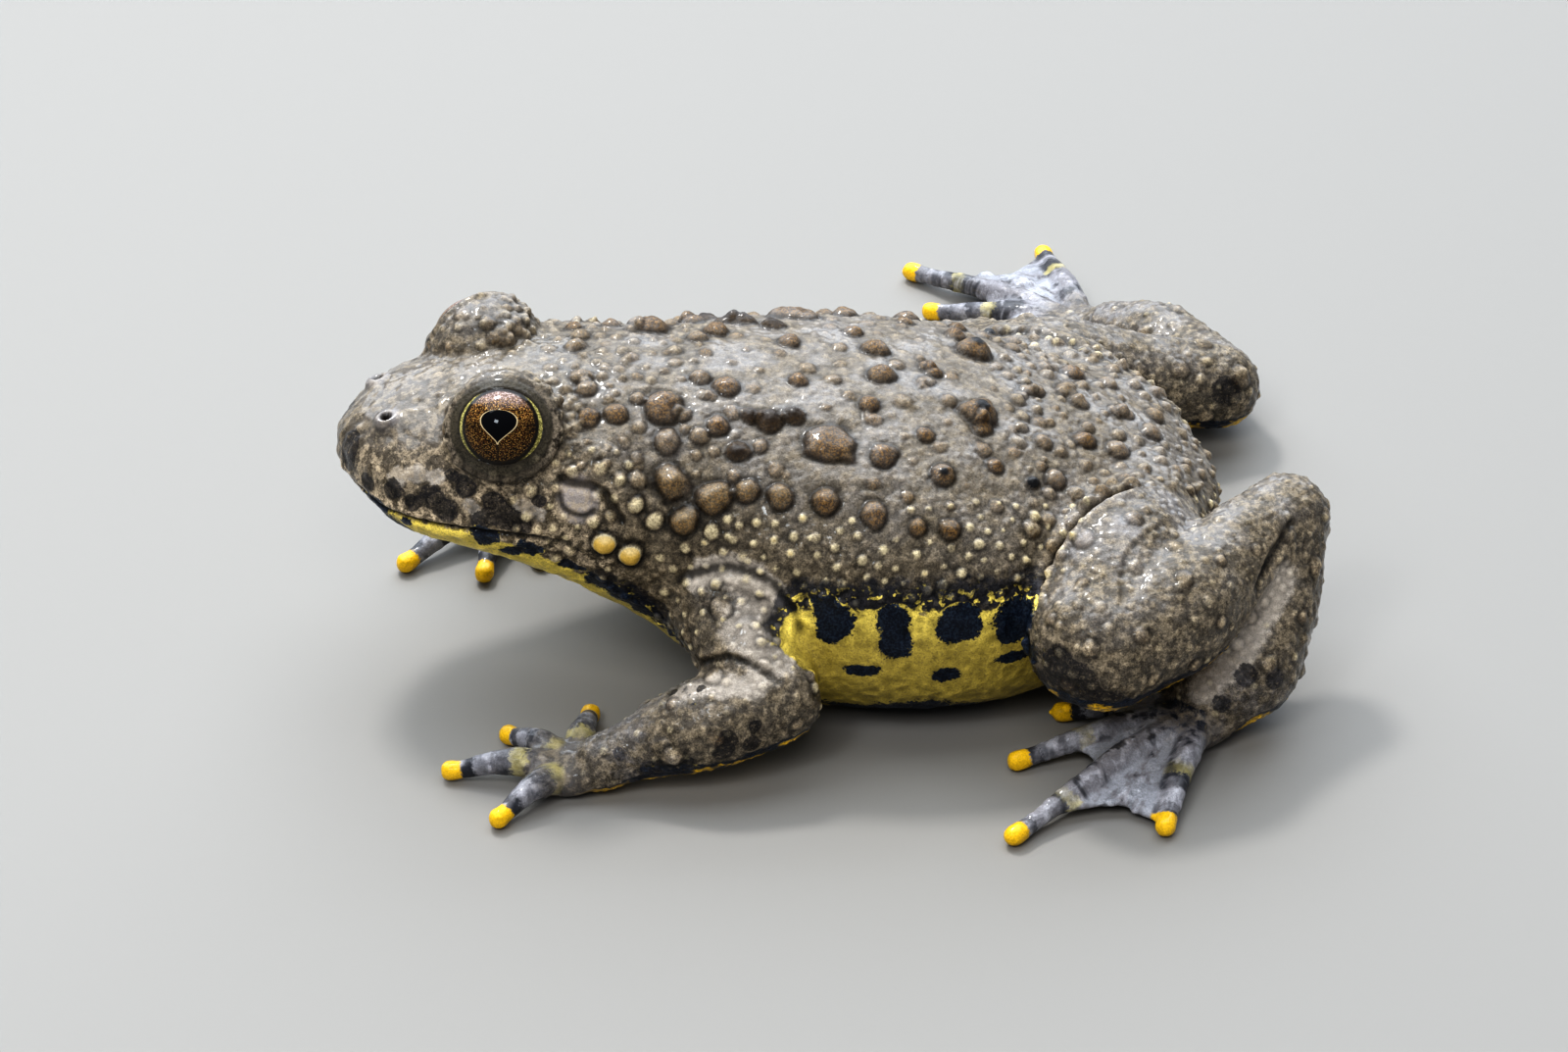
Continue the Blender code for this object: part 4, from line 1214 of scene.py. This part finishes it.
patches = {
    # name of the mark: {where: [(place for the left side, radius)]}
    # dark patches on the brown skin
    "stain": {
        "lip": [((-21.5, -1.5, 13.6), 0.75), ((-21.6, -1.9, 12.9), 0.6), ((-20.7, -3.5, 12.5), 0.5),
                ((-19.5, -4.8, 12.8), 0.55), ((-18.6, -5.5, 12.4), 0.4), ((-17.8, -6.0, 13.1), 0.65),
                ((-16.9, -6.3, 12.4), 0.6), ((-15.9, -6.2, 13.7), 0.6), ((-16.7, -5.8, 14.2), 0.35),
                ((-14.7, -7.0, 13.2), 0.5), ((-14.2, -7.2, 12.5), 0.7), ((-15.3, -6.9, 12.1), 0.5),
                ((-13.3, -7.4, 12.1), 0.55), ((-12.4, -7.4, 13.3), 0.35)],
        "arm": [((-3.9, -15.2, 3.8), 0.5), ((-4.1, -15.2, 3.1), 0.55), ((-2.5, -14.8, 4.3), 0.35),
                ((-2.7, -14.9, 3.3), 0.45), ((-5.8, -15.0, 2.5), 0.45), ((-6.9, -14.8, 2.2), 0.45),
                ((-7.7, -14.6, 2.1), 0.5), ((-9.1, -14.2, 2.6), 0.4), ((-6.4, -12.6, 5.1), 0.3),
                ((-5.0, -13.2, 5.6), 0.25), ((-5.3, -9.0, 5.3), 0.8), ((-6.8, -8.4, 7.0), 0.8),
                ((-7.9, -8.2, 8.0), 0.7), ((-9.4, -8.1, 9.0), 0.7)],
        "leg": [((12.3, -15.7, 7.7), 0.8), ((13.2, -16.5, 6.9), 1.0), ((14.8, -17.0, 5.4), 1.1),
                ((12.3, -14.6, 5.8), 1.2), ((16.8, -16.4, 4.6), 0.9), ((22.2, -13.2, 4.4), 0.6),
                ((23.7, -13.0, 4.0), 0.55), ((21.0, -13.6, 3.0), 0.5), ((24.9, -10.2, 5.6), 0.7),
                ((22.4, 17.8, 4.6), 1.0), ((18.0, 17.6, 4.4), 1.0), ((25.8, 13.6, 4.2), 0.9),
                ((20.2, 12.6, 5.2), 0.8)],
    },
    # smooth places that a film of water covers: a glossier coat, and a painted wet sheen in their colour
    "wetPatch": {
        "leg": [((14.2, -10.9, 11.1), 0.8), ((16.2, -10.2, 11.7), 0.7), ((19.3, -7.6, 11.2), 1.0)],
        "snout": [((-20.2, -1.2, 14.8), 1.0), ((-19.3, -2.2, 15.0), 1.1), ((-18.2, -3.0, 15.2), 1.0),
                  ((-18.3, -0.8, 15.8), 1.6), ((-17.4, -3.8, 15.2), 0.8)],
        "brow": [((-15.2, 0.4, 16.8), 0.9)],
    },
    # light patches on the limbs and under the eye, painted as a pale wet sheen
    "palePatch": {
        "arm": [((-4.6, -9.2, 9.5), 0.8), ((-3.5, -9.3, 10.0), 0.9), ((-2.2, -9.9, 9.9), 0.9),
                ((-1.3, -10.6, 9.3), 0.8), ((-2.6, -11.4, 8.0), 1.3), ((-0.6, -11.4, 7.3), 1.3),
                ((-1.4, -12.6, 6.6), 1.1), ((-5.6, -13.0, 5.3), 0.8), ((-4.0, -13.4, 5.8), 0.8),
                ((-2.6, -13.8, 5.9), 0.7)],
        "underEye": [((-19.2, -4.6, 13.4), 0.5), ((-18.4, -5.2, 13.9), 0.55), ((-17.4, -5.6, 13.9), 0.45),
                     ((-15.9, -6.9, 12.9), 0.4), ((-15.4, -7.0, 12.5), 0.4), ((-13.2, -7.3, 12.9), 0.45),
                     ((-12.5, -7.4, 12.6), 0.45)],
        "tarsus": [((24.3, -9.9, 7.9), 0.9), ((23.5, -10.9, 7.1), 0.9), ((22.7, -11.7, 6.3), 0.9),
                   ((22.0, -12.3, 5.5), 0.9), ((21.4, -12.7, 4.8), 0.9), ((20.2, -13.0, 3.6), 0.9)],
    },
}


def blend(blobs):
    # rounded patches that run together: about 1 inside, 0.5 on the outline of a lone one
    total = np.zeros(len(places))
    for place, radius in blobs:
        indices, gap = near(place, 2.2 * radius)
        total[indices] += 0.5 ** ((gap / radius) ** 3)
    return np.clip(total, 0, 1)


def onBothSides(blobs):
    # the left side's places; those of the head and the arm are mirrored for the right side
    both = list(blobs)
    return both + [((p[0], -p[1], p[2]), radius) for p, radius in blobs if p[0] < 0]


def paintFields():
    total = np.zeros(len(places))
    for along, tall, halfLength, halfHeight in itertools.chain(*blotches.values()):
        gap = np.sqrt(((x - along) / halfLength) ** 2 + ((z - tall) / halfHeight) ** 2)
        total += 0.5 ** np.minimum(gap, 3) ** 3
    mark("blotch", everywhere, np.clip(total, 0, 1) * (np.abs(y) > 2.5))
    under = softNoise(places * np.array([1.0, 1.0, 0.8]), 3.2, 41) + 0.4 * softNoise(places, 1.5, 42)
    covered = smoothStep(3.4, 2.0, z) * (1 - onHead) + smoothStep(-10, -12, x) * smoothStep(6, 5, np.abs(y))
    mark("blotch", everywhere, covered * np.clip(0.5 + 1.3 * (under - 0.12), 0, 1))
    for name, groups in patches.items():
        for blobs in groups.values():
            mark(name, everywhere, blend(onBothSides(blobs)))


paintFields()
webShare = smoothStep(0.62, 0.95, digitGap) * smoothStep(3.2, 2.4, digitGap) * (z < 2.0) * (trunkOut > 1.15)
webShare = webShare * smoothStep(1.1, 1.7, limbNear)
fieldsToKeep = {
    **marks,
    "hollow": hollows,
    "belly": bellyShare,
    "borderWay": np.clip(z - linesAt(bellyBorder, x), -3, 6),
    "limb": onLimb,
    "digit": onDigits,
    "tipWay": np.clip(tipWay, 0, 20),
    "digitGap": np.clip(digitGap, 0, 4),
    "web": webShare,
    "palmWay": np.clip(palmNear, 0, 20),
    "palmTurn": palmTurn,
    "backShare": smoothStep(-5, 50, np.where(onTrunk > 0.5, angle, 40 * normals[:, 2])),
    "upward": smoothStep(0.35, 0.95, normals[:, 2]),
    "topLit": smoothStep(0.15, 0.85, normalsOf(skin.data)[:, 2]),
    "under": smoothStep(-0.1, -0.6, normals[:, 2]),
    "headShare": onHead,
    "snout": smoothStep(-14.5, -17.0, x) * onTrunk,
}
for name, values in fieldsToKeep.items():
    attribute = skin.data.attributes.new(name, "FLOAT", "POINT")
    attribute.data.foreach_set("value", values.astype(np.float32))
skin.data.transform(Matrix.Scale(mm, 4))
skin.data.shade_smooth()
report("colour fields kept on the skin")


# the wet skin

skinFinish = {
    "back": (0.148, 0.128, 0.103),
    "flank": (0.100, 0.079, 0.051),
    "snout": (0.092, 0.074, 0.052),
    "limb": (0.094, 0.079, 0.060),
    "beige": (0.360, 0.295, 0.205),
    "lipPale": (0.430, 0.350, 0.250),
    "olive": (0.055, 0.043, 0.028),
    # painted wet sheen: the pale greys mixed in where the skin faces up or is wet
    "film": (0.235, 0.224, 0.226),
    "filmPale": (0.390, 0.350, 0.305),
    "ochre": (0.155, 0.082, 0.018),
    "wartBrown": (0.034, 0.018, 0.008),
    "wartDark": (0.022, 0.015, 0.010),
    "black": (0.008, 0.008, 0.009),
    "pearl": (0.390, 0.335, 0.215),
    "yellowGland": (0.370, 0.245, 0.055),
    "lid": (0.024, 0.018, 0.011),
    "lidPale": (0.300, 0.250, 0.190),
    "lidInner": (0.048, 0.041, 0.028),
    "nostrilRing": (0.200, 0.195, 0.210),
    "yellow": (0.420, 0.325, 0.070),
    "yellowPale": (0.740, 0.590, 0.130),
    "blueBlack": (0.006, 0.009, 0.018),
    "blueFleck": (0.045, 0.070, 0.105),
    "stain": (0.011, 0.010, 0.012),
    "tip": (0.800, 0.490, 0.017),
    "digitDark": (0.026, 0.028, 0.036),
    "digitPale": (0.400, 0.400, 0.440),
    "webPale": (0.340, 0.350, 0.390),
    "digitGrey": (0.210, 0.205, 0.225),
    "digitYellow": (0.560, 0.490, 0.200),
    "patch": (0.310, 0.275, 0.255),
    # crease: painted shade, the colour mixed into folds, lid creases, the mouth line and nostrils
    "crease": (0.016, 0.012, 0.009),
    "lipShare": 0.65,
    "stainShare": 0.88,
    "dust": (0.45, 1.65),  # how much darker and lighter the finest grain makes the skin
    "hollowTone": {"back": (1.24, 0.54), "sides": (1.58, 0.24)},  # painted light on the bumps and painted shade in the hollows, as tone factors
    "roughness": (0.36, 0.60),
    "coatWeight": (0.25, 0.95),
    "coatRoughness": 0.07,
    "specularLevel": 0.32,
    "coatIor": 1.34,
    "ior": 1.40,
    "bumpStrength": 0.9,
    "bumpDepth": 0.040 * mm,
}


def groundColour(s, c):
    # brown skin from back to flank, mottled, with a painted wet sheen: pale grey on up-facing and wet places
    colour = mix(s.backShare, c.flank, c.back)
    colour = mix(s.snout, colour, c.snout)
    colour = mix(s.limb, colour, c.limb)
    darkShare = (s.backShare.spread(0, 1, 0.75, 0.35) + s.headShare * 0.35).held()
    colour = mix(s.mottle.edge(0.55, 0.08) * darkShare, colour, c.olive)
    beigeShare = s.snout * 0.20 + s.limb * 0.20 + 0.30
    colour = mix(s.second.edge(0.52, 0.07) * beigeShare, colour, c.beige)
    # painted sheen: pale grey on up-facing skin and on the wet patches
    sheenShare = (s.upward * s.broad.edge(0.50, 0.12) * 0.45
                 + s.wetPatch * s.mottle.spread(0.35, 0.6, 1.0, 0.5)).held()
    colour = mix(sheenShare * s.headShare.spread(0, 1, 0.70, 0.18), colour, c.film)
    # painted sheen: the pale patches
    colour = mix(s.palePatch.shifted(s.mottle, 1.4).edge(0.50, 0.22) * 0.85, colour, c.filmPale)
    colour = mix(s.smoothPatch, colour, c.patch)
    onLip = s.headShare * s.backShare.inverse()
    colour = mix(onLip * s.second.edge(0.50, 0.05) * c.lipShare, colour, c.lipPale)
    stained = s.stain.shifted(s.second, 1.2).shifted(s.grain, 0.5).edge(0.50, 0.06)
    return mix(stained * c.stainShare, colour, mix(fleckMask(s.where, 7.0, 0.15, 0.08), c.stain, c.snout))


def wartColours(s, c, colour):
    # ochre domes with dark specks and a dark foot that is partly painted shade, cream pearls, yellow glands
    # and black tips; on up-facing tops the ochre and the yellow give way to paler skin as painted sheen
    dome = mix(fleckMask(s.where, 9.0, 0.44, 0.10), c.wartBrown, c.ochre)
    # painted sheen: the domes' ochre fades on their up-facing tops
    below = (s.topLit * s.backShare.spread(0, 1, 0.65, 0.10)).inverse()
    colour = mix((s.ochre * 0.92).held() * below, colour, dome)
    # the dark foot of each bump: its outline, darkened further as painted shade
    colour = mix((s.ring * 0.75).held(), colour, c.wartDark)
    pearlShare = s.pearl * s.grain.spread(0.35, 0.6, 0.55, 1.0)
    colour = mix(pearlShare.least(0.9), colour, c.pearl)
    # painted sheen: the glands' yellow fades on their tops
    glandShare = ((s.pearl - 1.0).held() * 1.8).held() * s.topLit.spread(0, 1, 1.0, 0.45)
    colour = mix(glandShare, colour, c.yellowGland)
    return mix(s.blackTip.least(1.0), colour, c.black)


def lidColours(s, c, colour):
    mottled = s.second.edge(0.46, 0.08) * s.lowerLid.spread(0, 1, 1.0, 0.2)
    lid = mix(s.innerLid, mix(mottled, c.lid, c.lidPale), c.lidInner)
    colour = mix(s.lid.edge(0.5, 0.3) * s.upperLid.spread(0, 1, 0.9, 0.3), colour, lid)
    return mix(s.nostrilRing * 0.4, colour, c.nostrilRing)


def bellyColours(s, c, colour):
    # yellow with blue-black blotches, painted light making it paler higher up and on the jaw and painted
    # shade deeper lower down, and a dark edge where the brown begins
    border = s.borderWay.shifted(s.mottle, 2.4)
    onFlank = s.limb.inverse() * s.headShare.inverse()
    colour = mix(border.band(0.6, 0.9, 0.35) * onFlank * 0.85, colour, c.blueBlack)
    yellowDots = border.band(0.4, 0.5, 0.4) * onFlank * fleckMask(s.where, 2.6, 0.27, 0.04)
    colour = mix(yellowDots, colour, c.yellowPale)
    # painted light and shade: pale yellow higher up and on the jaw, deeper yellow lower down
    litYellowShare = s.headShare.most(s.borderWay.shifted(s.mottle, 2.0).edge(-1.2, 1.2))
    yellow = mix(litYellowShare, c.yellow, c.yellowPale)
    yellow = mix(fleckMask(s.where, 9.0, 0.25) * 0.35, yellow, c.flank)
    black = mix(fleckMask(s.where, 8.0, 0.42, 0.12) * 0.3, c.blueBlack, c.blueFleck)
    outline = s.blotch.shifted(s.second, 1.2).shifted(s.grain, 0.9)
    underside = mix(outline.edge(0.48, 0.09), yellow, black)
    overBorder = s.blotch.edge(0.5, 0.2) * 0.5 * s.borderWay.edge(0.9, 0.3).inverse()
    colour = mix((s.belly.shifted(s.mottle, 0.7) + overBorder).edge(0.5, 0.07), colour, underside)
    limbEdge = (s.limb * s.under).shifted(s.mottle, 0.9)
    limbUnder = mix(limbEdge.edge(0.88, 0.06) * s.broad.edge(0.5, 0.04), black, c.tip)
    return mix(limbEdge.edge(0.62, 0.10) * s.digit.inverse(), colour, limbUnder)


def rayNoise(s, across, along, scale):
    # noise drawn out along the rays from palm to digits
    values = {0: s.palmTurn * across, 1: s.palmWay * along}
    rays = put(s.palmTurn.tree, "ShaderNodeCombineXYZ", values).outputs[0]
    return noiseOf(Signal(rays), scale, 3, 0.6)


def digitColours(s, c, colour):
    # pale blue-grey with dark patches drawn out along the toes, streaked webs, bands and yellow tips
    streaks = rayNoise(s, 7.0, 0.55, 1.3).shifted(s.grain, 0.25)
    onRays = s.palmWay.edge(3.2, 1.2)
    spots = (rayNoise(s, 3.2, 0.75, 1.0) * onRays + s.mottle * onRays.inverse()).shifted(s.grain, 0.06)
    nearPalm = s.palmWay.edge(2.6, 1.4).inverse() * 0.75
    toePale = mix(nearPalm, mix(s.mottle.edge(0.43, 0.12), c.digitPale, c.digitGrey), c.digitGrey)
    webPale = mix(nearPalm, mix(streaks.edge(0.56, 0.06), c.webPale, c.digitGrey), c.digitGrey)
    webPale = mix(streaks.edge(0.67, 0.05), webPale, c.digitDark)
    pale = mix(s.web, toePale, webPale)
    pale = mix(spots.edge(0.525, 0.05) * s.web.spread(0, 1, 0.9, 0.25), pale, c.digitDark)
    ankle = s.limb * 0.25 * s.palmWay.shifted(s.mottle, 5.0).edge(4.4, 1.6).inverse()
    beyondPalm = s.palmWay.shifted(s.mottle, 4.0).edge(2.5, 1.2).spread(0, 1, 0.15, 0.95)
    colour = mix(s.digit.most(s.web).most(ankle) * beyondPalm, colour, pale)
    onToe = s.digitGap.edge(0.85, 0.08).inverse()
    tipWay = s.tipWay.shifted(s.grain, 0.7).shifted(s.mottle, 1.2)
    someToes = s.broad.spread(0.40, 0.58, 1.0, 0.25)
    for middle, half, share, shade in ((3.55, 0.35, 0.6, c.digitYellow), (2.7, 0.45, 0.8, c.digitDark),
                                       (1.75, 0.5, 0.6, c.digitPale), (0.95, 0.35, 0.9, c.digitDark)):
        colour = mix(onToe * tipWay.band(middle, half, 0.15) * share * someToes, colour, shade)
    return mix(onToe * s.tipWay.shifted(s.grain, 0.5).edge(0.6, 0.06).inverse(), colour, c.tip)


def shadedAndDusted(s, c, colour):
    # painted shade in the hollows and painted light on the bumps, and dust over everything that isn't clean
    onBumps, inHollows = (s.backShare.spread(0.1, 0.9, atSides, atBack)
                          for atSides, atBack in zip(c.hollowTone["sides"], c.hollowTone["back"]))
    # painted light and shade: the bumps brightened and the hollows darkened
    colour = mix(1.0, colour, s.hollow.spread(0, 1, onBumps, inHollows), "MULTIPLY")
    dusted = mix(1.0, colour, (s.fine * 0.5 + s.grain * 0.5).spread(0.36, 0.64, *c.dust), "MULTIPLY")
    clean = s.backShare * 0.75
    for other in (s.digit, s.belly, s.wetPatch, s.ochre, s.pearl, s.smoothPatch, s.palePatch):
        clean = clean.most(other)
    return mix(clean.spread(0, 1, 1.0, 0.30), colour, dusted)


def makeSkinMaterial():
    material, tree, shader = newMaterial("wetToadSkin")
    c = SimpleNamespace(**skinFinish)
    where = millimetres(tree)
    s = SimpleNamespace(where=where, broad=noiseOf(where, 0.45, 3, 0.6), second=noiseOf(where, 1.9, 5, 0.7),
                        mottle=noiseOf(where, 1.3, 4, 0.65, 0.4), grain=noiseOf(where, 6.0, 3, 0.6),
                        fine=noiseOf(where, 12.0, 2, 0.7))
    for name in fieldsToKeep:
        setattr(s, name, Signal(put(tree, "ShaderNodeAttribute", attribute_name=name).outputs["Fac"]))
    colour = groundColour(s, c)
    for paint in (wartColours, lidColours, bellyColours, digitColours):
        colour = paint(s, c, colour)
    # painted shade in the creases, then painted light and shade from the relief
    colour = shadedAndDusted(s, c, mix((s.groove * 0.8).held(), colour, c.crease))

    wet = s.wetPatch.most(s.broad.edge(0.5, 0.1))
    calm = s.smoothPatch.most(s.belly) * 0.75
    film = wet.spread(0, 1, *c.coatWeight) * calm.inverse() * s.ochre.spread(0, 1, 1.0, 0.65)
    pores = put(tree, "ShaderNodeTexVoronoi", {"Vector": where, "Scale": 4.2, "Randomness": 1.0})
    relief = Signal(pores.outputs["Distance"]) * -0.5 + s.fine * 0.5 + s.grain * 0.8
    bump = put(tree, "ShaderNodeBump",
               {"Height": relief, "Strength": c.bumpStrength, "Distance": c.bumpDepth})
    feed(shader, {"Base Color": colour, "Roughness": s.grain.spread(0.3, 0.7, *c.roughness),
                  "Coat Weight": film, "Coat Roughness": c.coatRoughness, "Coat IOR": c.coatIor,
                  "IOR": c.ior, "Specular IOR Level": c.specularLevel,
                  "Normal": Signal(bump.outputs["Normal"])})
    return material


skin.data.materials.clear()
skin.data.materials.append(makeSkinMaterial())
fleshNodes = [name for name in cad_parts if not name.startswith("eye")]
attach(skin, "root")
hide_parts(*fleshNodes)
report("skin finished")


# eyes

eyeLook = {
    "irisRadius": 1.82,
    "pupilHalfWidth": {-0.90: 0.0, -0.80: 0.06, -0.66: 0.20, -0.48: 0.40, -0.30: 0.60, -0.10: 0.78,
                       0.10: 0.87, 0.28: 0.88, 0.44: 0.81, 0.58: 0.66, 0.68: 0.46, 0.74: 0.22,
                       0.76: 0.0},
    "black": (0.002, 0.002, 0.003),
    "rim": (0.62, 0.50, 0.30),
    "copper": (0.075, 0.028, 0.008),
    "gold": (0.46, 0.265, 0.075),
    "pink": (0.46, 0.37, 0.35),
    "pinkDark": (0.16, 0.10, 0.085),
    "brownDark": (0.010, 0.006, 0.003),
    "crescent": (0.60, 0.54, 0.20),
    "crescentDark": (0.20, 0.18, 0.06),
    "irisEdge": (0.012, 0.009, 0.007),
    "roughness": 0.6,
    "specularLevel": 0.03,
    "coatWeight": 0.7,
    "coatRoughness": 0.03,
    "coatIor": 1.38,
    "cornea": 0.045,  # how far it stands out, as a share of the radius
}


def pupilCurve(tree, up, halfWidths):
    # the pupil's half width at each height
    curve = put(tree, "ShaderNodeFloatCurve", {"Value": up * 0.4 + 0.5})
    line = curve.mapping.curves[0]
    spots = [(0.5 + 0.4 * tall, half) for tall, half in sorted(halfWidths.items())]
    spots = [(0.0, 0.0), *spots, (1.0, 0.0)]
    while len(line.points) < len(spots):
        line.points.new(0.5, 0)
    for point, spot in zip(line.points, spots):
        point.location = spot
    curve.mapping.update()
    return Signal(curve.outputs["Value"])


def makeEyeMaterial():
    material, tree, shader = newMaterial("toadEye")
    e = SimpleNamespace(**eyeLook)
    where = millimetres(tree)
    axes = put(tree, "ShaderNodeSeparateXYZ", {0: where}).outputs  # x to the rear, y up, z along the gaze
    across, up = Signal(axes[0]), Signal(axes[1])
    wide = abs(across)
    flat = Signal(put(tree, "ShaderNodeCombineXYZ", {0: across, 1: up}).outputs[0])
    radius = Signal(put(tree, "ShaderNodeVectorMath", {0: flat}, operation="LENGTH").outputs["Value"])
    outside = wide - pupilCurve(tree, up, e.pupilHalfWidth)
    tall = abs(up + 0.07)
    pupil = tall.edge(0.83, 0.02).inverse() * outside.edge(0.0, 0.02).inverse()
    rim = tall.edge(0.88, 0.03).inverse() * outside.edge(0.05, 0.025).inverse()

    dust = fleckMask(where, 11.0, 0.42, 0.03)
    colour = mix(dust, e.brownDark, e.copper)
    colour = mix(fleckMask(where, 15.0, 0.28, 0.03) * 0.85, colour, e.gold)
    # darker towards the bottom and lighter towards the top
    colour = mix(1.0, colour, up.spread(-1.6, 1.2, 0.60, 1.20), "MULTIPLY")
    # painted sheen: a pale pink band over the top of the iris
    colour = mix(up.edge(1.22, 0.40) * 0.85, colour, mix(dust, e.pinkDark, e.pink))
    clouds = noiseOf(where, 1.4, 3, 0.6, 0.3).edge(0.46, 0.1)
    colour = mix(abs(up).edge(0.28, 0.22).inverse() * clouds * 0.6, colour, e.brownDark)
    slit = wide.edge(0.05, 0.04).inverse() * up.edge(-0.84, 0.03).inverse()
    colour = mix(slit * 0.8, colour, e.brownDark)
    colour = mix(pupil, mix(rim, colour, e.rim), e.black)

    # dark edge of the iris, and the pale crescents beyond it
    colour = mix(radius.edge(e.irisRadius - 0.10, 0.06), colour, e.irisEdge)
    beyond = radius.edge(e.irisRadius + 0.08, 0.04) * wide.edge(1.2, 0.3)
    colour = mix(beyond, colour, mix(dust, e.crescentDark, e.crescent))
    feed(shader, {"Base Color": colour, "Roughness": e.roughness, "Specular IOR Level": e.specularLevel,
                  "Coat Weight": e.coatWeight, "Coat Roughness": e.coatRoughness, "Coat IOR": e.coatIor})
    return material


def makeEye(name, side, material):
    centre, *ways = eyeFrame(side)
    bm = bmesh.new()
    bmesh.ops.create_uvsphere(bm, u_segments=96, v_segments=64, radius=head["eyeRadius"])
    bm.transform(Matrix.Rotation(math.pi / 2, 4, "X"))  # keeps the sphere's poles away from the pupil
    for vertex in bm.verts:  # the cornea stands out a little more than the ball
        turn = math.degrees(vertex.co.angle(Vector((0, 0, 1))))
        vertex.co *= 1 + eyeLook["cornea"] * float(smoothStep(62, 10, turn))
    bm.transform(Matrix.Scale(mm, 4))
    mesh = meshFrom(name, bm)
    mesh.shade_smooth()
    mesh.materials.append(material)
    eye = objectFrom(name, mesh)
    eye.matrix_world = Matrix.Translation(centre * mm) @ Matrix(ways).transposed().to_4x4()
    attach(eye, "root")
    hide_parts("eye_left" if side < 0 else "eye_right")


eyeMaterial = makeEyeMaterial()
makeEye("eyeLeft", -1, eyeMaterial)
makeEye("eyeRight", 1, eyeMaterial)
report("eyes made")
